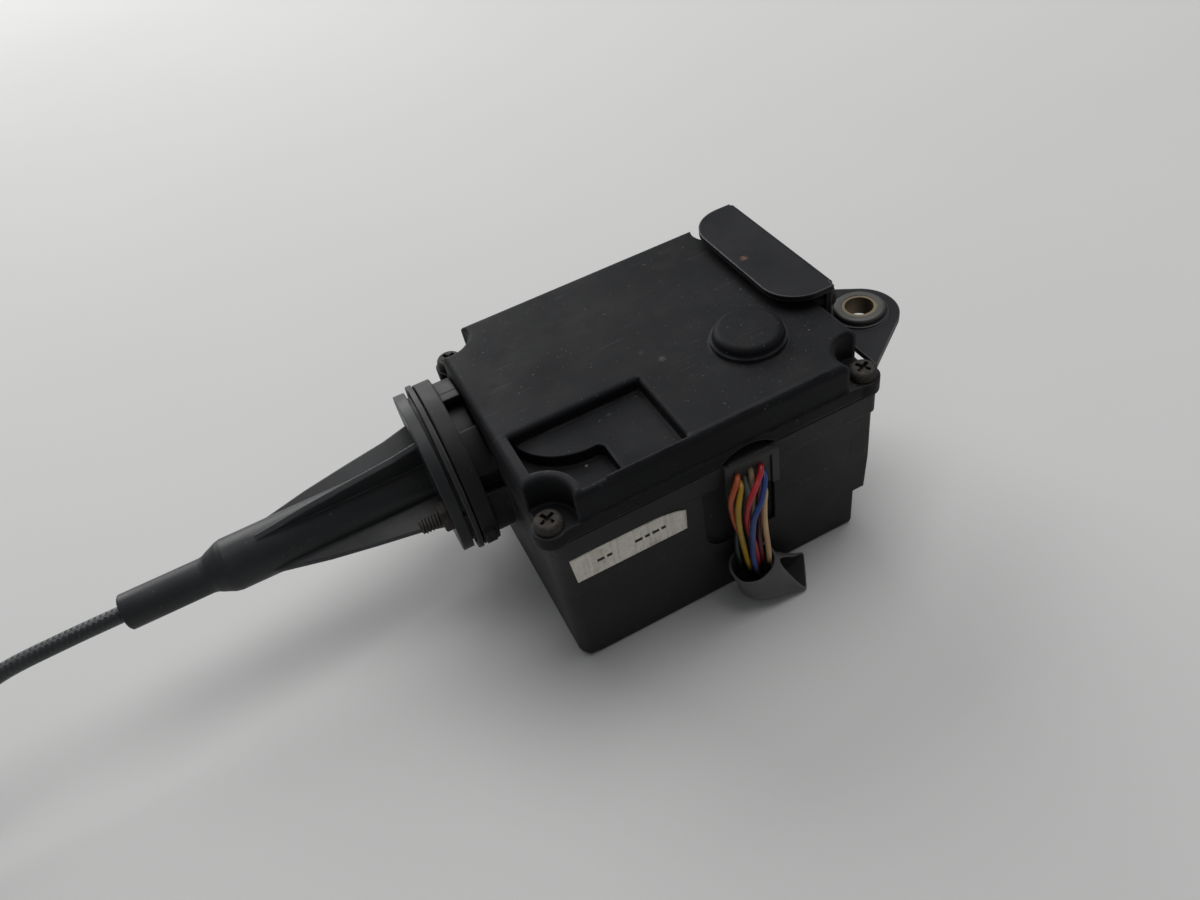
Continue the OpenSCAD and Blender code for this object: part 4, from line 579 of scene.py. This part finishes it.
class SERVO_OT_camera(bpy.types.Operator):
    """Sets the camera at the angle of the picture"""
    bl_idname = "servo.camera"
    bl_label = "Camera"

    def execute(self, context):
        azimuth, elevation, roll = (math.radians(a) for a in CAMERA_ANGLES)
        ahead = Vector((-math.sin(azimuth) * math.cos(elevation), math.cos(azimuth) * math.cos(elevation),
                        -math.sin(elevation)))
        right = Vector((math.cos(azimuth), math.sin(azimuth), 0))
        up = right.cross(ahead)
        across = right * math.cos(roll) + up * math.sin(roll)
        upright = up * math.cos(roll) - right * math.sin(roll)
        data = bpy.data.cameras.new("camera")
        data.lens = context.scene.servo_sizes.lens
        data.sensor_width = 36
        data.clip_start = 0.01
        camera = bpy.data.objects.new("camera", data)
        camera.matrix_world = Matrix((
            (across.x, upright.x, -ahead.x, CAMERA_PLACE[0]),
            (across.y, upright.y, -ahead.y, CAMERA_PLACE[1]),
            (across.z, upright.z, -ahead.z, CAMERA_PLACE[2]),
            (0, 0, 0, 1)))
        context.scene.collection.objects.link(camera)
        context.scene.camera = camera
        return {"FINISHED"}


class SERVO_OT_cable(bpy.types.Operator):
    """Lays the sheathed cable from the cap through its coil to the far ferrule"""
    bl_idname = "servo.cable"
    bl_label = "Cable"

    def execute(self, context):
        sizes, colours = context.scene.servo_sizes, context.scene.servo_colours
        route = catmull(metres([CAP_MOUTH] + SHEATH_ROUTE), SHEATH_STEPS)
        for i in range(1, COIL_STEPS + 1):
            t = COIL_SWEEP * i / COIL_STEPS
            inward = self.shift(t, *COIL_GOES_IN) - self.shift(t, *COIL_GOES_OUT)
            drop = self.shift(t, *COIL_GOES_DOWN)
            a = math.radians(COIL_START - t)
            r = COIL_RADIUS - COIL_LANE * inward
            route.append(Vector((COIL_CENTRE[0] + r * math.cos(a), COIL_CENTRE[1] + r * math.sin(a),
                                 COIL_TOP + (COIL_LOW - COIL_TOP) * drop)) * 0.001)
        route += catmull([route[-1]] + metres(TAIL_ROUTE), TAIL_STEPS)[1:]
        radius = sizes.sheath_diameter / 2
        points, faces, coords = tube(route, radius, sizes.tube_sides)
        self.bore_end(points, faces, coords, route, sizes)
        look = finish("ribbed_sheath", sheath_finish, tuple(colours.sheath))
        cable = new_piece("pull_cable", points, faces, "case", look, coords)
        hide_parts("cable_sheath", "cable_coil", "cable_tail")
        return {"FINISHED"}

    @staticmethod
    def bore_end(points, faces, coords, route, sizes):
        """Opens the far end of the sheath so that the core can slide in it."""
        n = sizes.tube_sides
        faces.pop()
        deep = (TAIL_ROUTE[-1][1] - BORE_FROM_Y) * 0.001
        ahead = (route[-1] - route[-2]).normalized()
        for back in (0.0, deep):
            base = len(points)
            for k in range(n):
                across = (points[(len(route) - 1) * n + k] - route[-1]).normalized()
                points.append(route[-1] - ahead * back + across * BORE_RADIUS * 0.001)
                coords.append(coords[(len(route) - 1) * n + k])
            for k in range(n):
                m = (k + 1) % n
                faces.append((base - n + k, base - n + m, base + m, base + k))
        faces.append(tuple(range(len(points) - n, len(points))))

    @staticmethod
    def shift(t, a, b):
        """How far a smooth change from a to b has gone at t, 0 to 1."""
        k = min(1.0, max(0.0, (t - a) / (b - a)))
        return k * k * (3 - 2 * k)


class SERVO_OT_wires(bpy.types.Operator):
    """Runs the nine wires from the grommet down into their sleeve"""
    bl_idname = "servo.wires"
    bl_label = "Wires"

    def execute(self, context):
        diameter = context.scene.servo_sizes.wire_diameter
        for (name, colour, route), hole in zip(WIRES, WIRE_HOLES):
            start = [(hole[0], y, hole[1]) for y in (WIRE_INNER_Y, WIRE_STRAIGHT_Y, WIRE_OUT_Y)]
            line = metres(start[:1]) + catmull(metres(start[1:] + route), WIRE_STEPS)
            points, faces, coords = tube(line, diameter / 2, WIRE_SIDES)
            look = finish("insulation_" + name, insulation, colour)
            wire = new_piece("lead_" + name, points, faces, "case", look, coords)
            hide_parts("wire_" + name)
        return {"FINISHED"}


class SERVO_OT_sleeve(bpy.types.Operator):
    """Makes the soft grey tube that the wires end in, cut open on a slant"""
    bl_idname = "servo.sleeve"
    bl_label = "Sleeve"

    def execute(self, context):
        sizes, colours = context.scene.servo_sizes, context.scene.servo_colours
        mouth, belly, end = (ring_smooth(metres(r), 5) for r in SLEEVE_RINGS)
        n = len(mouth)
        low = [(m + v) / 2 * 0.85 + (v * 1.1 - e * 0.1) * 0.15 for m, v, e in zip(mouth, belly, end)]
        rings = [mouth, low, belly, [(v + e) / 2 for v, e in zip(belly, end)], end]
        lines = [catmull([r[i] for r in rings], 4) for i in range(n)]
        outer = [[lines[i][k] for i in range(n)] for k in range(len(lines[0]))]
        inner = []
        for ring in outer:
            middle = sum(ring, Vector()) / n
            inner.append([p + (middle - p).normalized() * sizes.sleeve_wall for p in ring])
        count = len(outer)
        points = [p for ring in outer + inner for p in ring]
        faces = []
        for i in range(count - 1):
            for s in range(n):
                m = (s + 1) % n
                faces.append((i * n + s, i * n + m, (i + 1) * n + m, (i + 1) * n + s))
                j = count + i
                faces.append((j * n + s, (j + 1) * n + s, (j + 1) * n + m, j * n + m))
        for s in range(n):
            m = (s + 1) % n
            faces.append((s, count * n + s, count * n + m, m))
            a, b = (count - 1) * n, (2 * count - 1) * n
            faces.append((a + s, a + m, b + m, b + s))
        look = finish("soft_sleeve", moulded, tuple(colours.sleeve), 0.42, 0.2, 0.3, 0.5, 0.0003)
        sleeve = new_piece("cut_sleeve", points, faces, "case", look)
        # The inner faces get a near-black finish: painted shade inside the tube.
        sleeve.data.materials.append(finish("sleeve_inside", plain_plastic, (0.006, 0.006, 0.006), 0.8))
        for face in sleeve.data.polygons:
            if min(face.vertices) >= count * n:
                face.material_index = 1
        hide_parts("wire_sleeve")
        return {"FINISHED"}


class SERVO_OT_grommet(bpy.types.Operator):
    """Fills the mouth of the grommet with the face that the wires come out of"""
    bl_idname = "servo.grommet"
    bl_label = "Grommet face"

    def execute(self, context):
        low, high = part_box("wire_grommet")
        x0, x1 = low.x + 0.0023, high.x - 0.0023
        z0, z1 = low.z + 0.0004, high.z - 0.0006
        back = low.y + 0.0035
        steps = 12
        points, faces = [], []
        for i in range(steps + 1):
            t = i / steps
            x = x0 + (x1 - x0) * t
            face_y = low.y + 0.0015 - 0.0008 * t
            section = ((back, z0), (face_y + 0.0002, z0), (face_y, z1 - 0.0004), (face_y + 0.0004, z1),
                       (back, z1))
            points.extend(Vector((x, y, z)) for y, z in section)
        for i in range(steps):
            for k in range(5):
                m = (k + 1) % 5
                faces.append((i * 5 + k, i * 5 + m, (i + 1) * 5 + m, (i + 1) * 5 + k))
        faces.append((4, 3, 2, 1, 0))
        faces.append(tuple(steps * 5 + k for k in range(5)))
        look = finish("grommet_rubber", rubber, *GROMMET_RUBBER)
        new_piece("grommet_face", points, faces, "case", look, smooth=False)
        return {"FINISHED"}


class SERVO_OT_label(bpy.types.Operator):
    """Sticks the torn paper label on the near wall"""
    bl_idname = "servo.label"
    bl_label = "Label"

    def execute(self, context):
        colours = context.scene.servo_colours
        rng = random.Random(5)
        across, high = 48, 12
        top = sorted(LABEL_OUTLINE[3:] + LABEL_OUTLINE[:1])
        low = sorted(LABEL_OUTLINE[1:3])
        points, faces = [], []
        for layer in (0, 1):
            for i in range(across + 1):
                t = i / across
                x0, x1 = low[0][0], low[1][0]
                u0, u1 = top[0][0], top[-1][0]
                bottom = (x0 + (x1 - x0) * t, self.level(low, x0 + (x1 - x0) * t))
                head_x = u0 + (u1 - u0) * t
                head = (head_x, self.level(top, head_x) - 0.12 * rng.random())
                for k in range(high + 1):
                    s = k / high
                    x = bottom[0] * (1 - s) + head[0] * s
                    z = bottom[1] * (1 - s) + head[1] * s
                    out = PASTE + (PAPER + self.ripple(x) if layer else 0)
                    points.append(self.on_wall(x, z, out))
        size = (across + 1) * (high + 1)
        for i in range(across):
            for k in range(high):
                a = i * (high + 1) + k
                b = a + high + 1
                faces.append((a + size, b + size, b + size + 1, a + size + 1))
                faces.append((a, a + 1, b + 1, b))
        rim = ([i * (high + 1) for i in range(across + 1)]
               + [across * (high + 1) + k for k in range(1, high + 1)]
               + [i * (high + 1) + high for i in range(across - 1, -1, -1)]
               + [k for k in range(high - 1, 0, -1)])
        for i, a in enumerate(rim):
            b = rim[(i + 1) % len(rim)]
            faces.append((a, b, b + size, a + size))
        look = finish("aged_paper", paper, tuple(colours.label))
        label = new_piece("paper_label", points, faces, "case", look)
        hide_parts("label")
        self.marks()
        return {"FINISHED"}

    @staticmethod
    def level(line, x):
        """Height at x of a line of (x, z) points, carried on past its ends."""
        for (a, za), (b, zb) in zip(line, line[1:]):
            if a <= x <= b or (x < a and line[0][0] == a) or (b == line[-1][0] and x > b):
                return za + (zb - za) * (x - a) / (b - a)
        return line[-1][1]

    @staticmethod
    def ripple(x):
        """How far the paper stands off the wall at x: more towards the torn end."""
        wave = 0.03 * (math.sin(x * 2.6) + math.sin(x * 4.1 + 1))
        return max(0, wave) * max(0, (x + 30) / 18)

    @staticmethod
    def on_wall(x, z, out):
        """A point in front of the near wall, which leans by its draft."""
        drop = (BAND_Z - z) * math.sin(DRAFT)
        return Vector((x, -BODY_HALF_WIDTH + drop - out, z)) * 0.001

    def marks(self):
        """Small plain dark bars on the paper."""
        points, faces = [], []
        for x, wide in LABEL_BARS:
            z0 = 42.8 + (x + 40) * 0.012
            base = len(points)
            for out in BAR_LAYERS:
                for dx, dz in ((0, 0), (wide, 0), (wide, BAR_HEIGHT), (0, BAR_HEIGHT)):
                    points.append(self.on_wall(x + dx, z0 + dz, out + self.ripple(x + dx)))
            for face in BOX_FACES:
                faces.append(tuple(base + k for k in face))
        look = finish("print_ink", plain_plastic, (0.012, 0.012, 0.014), 0.6)
        new_piece("label_bars", points, faces, "case", look, smooth=False)


class SERVO_OT_stud(bpy.types.Operator):
    """Cuts the thread on the rusty stud beside the cap"""
    bl_idname = "servo.stud"
    bl_label = "Threaded stud"

    def execute(self, context):
        pitch = context.scene.servo_sizes.thread_pitch
        low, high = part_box("flange_stud")
        radius, depth, sides, per = 0.0025, 0.00056, 28, 10
        point_length, point_depth = 0.0007, 0.0006
        middle = Vector(((low.x + high.x) / 2, (low.y + high.y) / 2, (low.z + high.z) / 2))
        rings = int((high.x - low.x) / pitch * per)
        points, faces, coords = [], [], []
        for i in range(rings + 1):
            x = low.x + (high.x - low.x) * i / rings
            for k in range(sides):
                a = 2 * math.pi * k / sides
                phase = (i / per + k / sides) % 1.0
                groove = depth * (1 - abs(2 * phase - 1)) ** 0.8
                r = radius - groove - max(0.0, 1 - (x - low.x) / point_length) * point_depth
                points.append(Vector((x, middle.y + r * math.cos(a), middle.z + r * math.sin(a))))
                coords.append((groove / depth, k / sides))
        for i in range(rings):
            for k in range(sides):
                m = (k + 1) % sides
                faces.append((i * sides + k, i * sides + m, (i + 1) * sides + m, (i + 1) * sides + k))
        faces.append(tuple(range(sides)))
        faces.append(tuple(rings * sides + k for k in reversed(range(sides))))
        faces = [tuple(reversed(f)) for f in faces]
        look = finish("thread_rust", rusty, threaded=True)
        stud = new_piece("threaded_stud", points, faces, "case", look, coords)
        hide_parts("flange_stud")
        return {"FINISHED"}


class SERVO_OT_case_finish(bpy.types.Operator):
    """Gives the two halves of the case and the cap their moulded black"""
    bl_idname = "servo.case_finish"
    bl_label = "Case finish"

    def execute(self, context):
        colours = context.scene.servo_colours
        dress(["housing"], finish("case_black", moulded, tuple(colours.case), 0.52, 0.3, 0.5, edge=0.001))
        dress(["cover"], finish("cover_black", moulded, tuple(colours.cover), 0.54, 0.2, 0.75, edge=0.0014,
                                shine=0.1, marks=COVER_MARKS))
        dress(["cable_cap"], finish("cap_black", moulded, tuple(colours.cap), 0.42, 0.25, 0.7, 0.6))
        dress(["spacer_ring"], finish("spacer_black", moulded, (0.022, 0.022, 0.022), 0.5, 0.3, 0.9))
        dress(["cover_gasket"], finish("soft_rubber", rubber, (0.022, 0.022, 0.022)))
        dress(["ear_grommet"], finish("ring_rubber", rubber, (0.024, 0.0235, 0.022), 0.45, 0.22))
        dress(["wire_grommet"], finish("grommet_rubber", rubber, *GROMMET_RUBBER))
        return {"FINISHED"}


class SERVO_OT_metal_finish(bpy.types.Operator):
    """Paints the bracket and rusts the screws and nut"""
    bl_idname = "servo.metal_finish"
    bl_label = "Bracket and screws"

    def execute(self, context):
        colours = context.scene.servo_colours
        dress(["mounting_bracket"], finish("bracket_paint", painted, tuple(colours.bracket)))
        dress(["cover_screws", "bracket_screws", "flange_nut"], finish("rust", rusty))
        dress(["ear_sleeve"], finish("yellowed_plating", metal, (0.20, 0.165, 0.115), 0.6, True, 0.6))
        dress(["cable_ferrule", "core_end"], finish("zinc_plating", metal, *ZINC))
        return {"FINISHED"}


INNER_FINISHES = [
    ("bright_steel", metal, ((0.50, 0.50, 0.51), 0.28, True, 0.05),
     ["inner_core", "drum_shaft", "clutch_shaft", "worm", "motor_shaft"]),
    ("ground_steel", metal, ((0.42, 0.42, 0.43), 0.35, True, 0.1), ["clutch_rotor", "clutch_armature"]),
    ("spring_wire", metal, ((0.26, 0.26, 0.27), 0.4), ["return_spring"]),
    ("zinc_plating", metal, ZINC, ["core_slug", "motor_clamp", "motor_screws", "board_screws"]),
    ("sintered_bronze", metal, ((0.38, 0.24, 0.11), 0.5, False, 0.3),
     ["drum_bush", "worm_wheel_bush", "lower_bearing", "upper_bearing", "shaft_bearing"]),
    ("machined_brass", metal, ((0.60, 0.43, 0.17), 0.32, True, 0.15), ["pinion"]),
    ("natural_acetal", plain_plastic, ((0.66, 0.63, 0.54), 0.4),
     ["cable_drum", "worm_wheel", "sensor_rotor"]),
    ("resin_winding", plain_plastic, ((0.24, 0.085, 0.03), 0.35), ["clutch_coil"]),
    ("plated_can", metal, ((0.40, 0.41, 0.42), 0.3, False, 0.15), ["coil_cup", "motor_can"]),
    ("black_moulding", plain_plastic, ((0.015, 0.015, 0.015), 0.4),
     ["motor_end_cap", "relay", "control_chip"]),
    ("board_lacquer", plain_plastic, ((0.014, 0.095, 0.035), 0.25), ["circuit_board"]),
    ("natural_nylon", plain_plastic, ((0.55, 0.52, 0.43), 0.45), ["wire_header"]),
    ("shrink_sleeve", plain_plastic, ((0.022, 0.045, 0.20), 0.3), ["capacitors"]),
    ("blue_moulding", plain_plastic, ((0.020, 0.045, 0.15), 0.4), ["position_sensor"]),
]


class SERVO_OT_inner_finish(bpy.types.Operator):
    """Gives the mechanism and the circuit inside their finishes"""
    bl_idname = "servo.inner_finish"
    bl_label = "Inner parts"

    def execute(self, context):
        for name, maker, args, nodes in INNER_FINISHES:
            dress(nodes, finish(name, maker, *args))
        return {"FINISHED"}


class SERVO_OT_stage(bpy.types.Operator):
    """Sets the pale floor, the soft lamps and the world"""
    bl_idname = "servo.stage"
    bl_label = "Stage"

    def execute(self, context):
        scene = context.scene
        span = scene.servo_sizes.floor_span / 2
        mesh = bpy.data.meshes.new("floor")
        corners = [(-span, -span, 0), (span, -span, 0), (span, span, 0), (-span, span, 0)]
        mesh.from_pydata(corners, [], [(0, 1, 2, 3)])
        mesh.materials.append(finish("pale_floor", floor_finish, tuple(scene.servo_colours.floor)))
        floor = bpy.data.objects.new("floor", mesh)
        scene.collection.objects.link(floor)
        for name, place, side, power in LAMPS:
            self.lamp(name, place, side, power)
        world = bpy.data.worlds.new("studio")
        world.use_nodes = True
        sky = world.node_tree.nodes["Background"]
        sky.inputs["Color"].default_value = (*SKY_COLOUR, 1)
        sky.inputs["Strength"].default_value = SKY_STRENGTH
        scene.world = world
        scene.view_settings.view_transform = "Standard"
        return {"FINISHED"}

    @staticmethod
    def lamp(name, place, side, power):
        """Hangs a square lamp that faces the part."""
        data = bpy.data.lights.new(name, "AREA")
        data.shape = "SQUARE"
        data.size = side
        data.energy = power
        lamp = bpy.data.objects.new(name, data)
        lamp.location = place
        lamp.rotation_euler = (Vector(LAMP_TARGET) - Vector(place)).to_track_quat("-Z", "Y").to_euler()
        bpy.context.scene.collection.objects.link(lamp)


class SERVO_PT_panel(bpy.types.Panel):
    bl_label = "Cruise control servo"
    bl_idname = "SERVO_PT_panel"
    bl_space_type = "VIEW_3D"
    bl_region_type = "UI"
    bl_category = "Servo"

    def draw(self, context):
        for group in (context.scene.servo_sizes, context.scene.servo_colours):
            box = self.layout.box()
            for key in group.__annotations__:
                box.prop(group, key)
        for step in STEPS:
            self.layout.operator(step.bl_idname)


STEPS = (SERVO_OT_camera, SERVO_OT_cable, SERVO_OT_wires, SERVO_OT_sleeve, SERVO_OT_grommet, SERVO_OT_label,
         SERVO_OT_stud, SERVO_OT_case_finish, SERVO_OT_metal_finish, SERVO_OT_inner_finish, SERVO_OT_stage)
CLASSES = (ServoSizes, ServoColours, *STEPS, SERVO_PT_panel)


def register():
    for cls in CLASSES:
        bpy.utils.register_class(cls)
    bpy.types.Scene.servo_sizes = PointerProperty(type=ServoSizes)
    bpy.types.Scene.servo_colours = PointerProperty(type=ServoColours)


def unregister():
    del bpy.types.Scene.servo_colours
    del bpy.types.Scene.servo_sizes
    for cls in reversed(CLASSES):
        bpy.utils.unregister_class(cls)


def main():
    register()
    for step in STEPS:
        group, name = step.bl_idname.split(".")
        getattr(getattr(bpy.ops, group), name)()


if __name__ == "__main__":
    main()
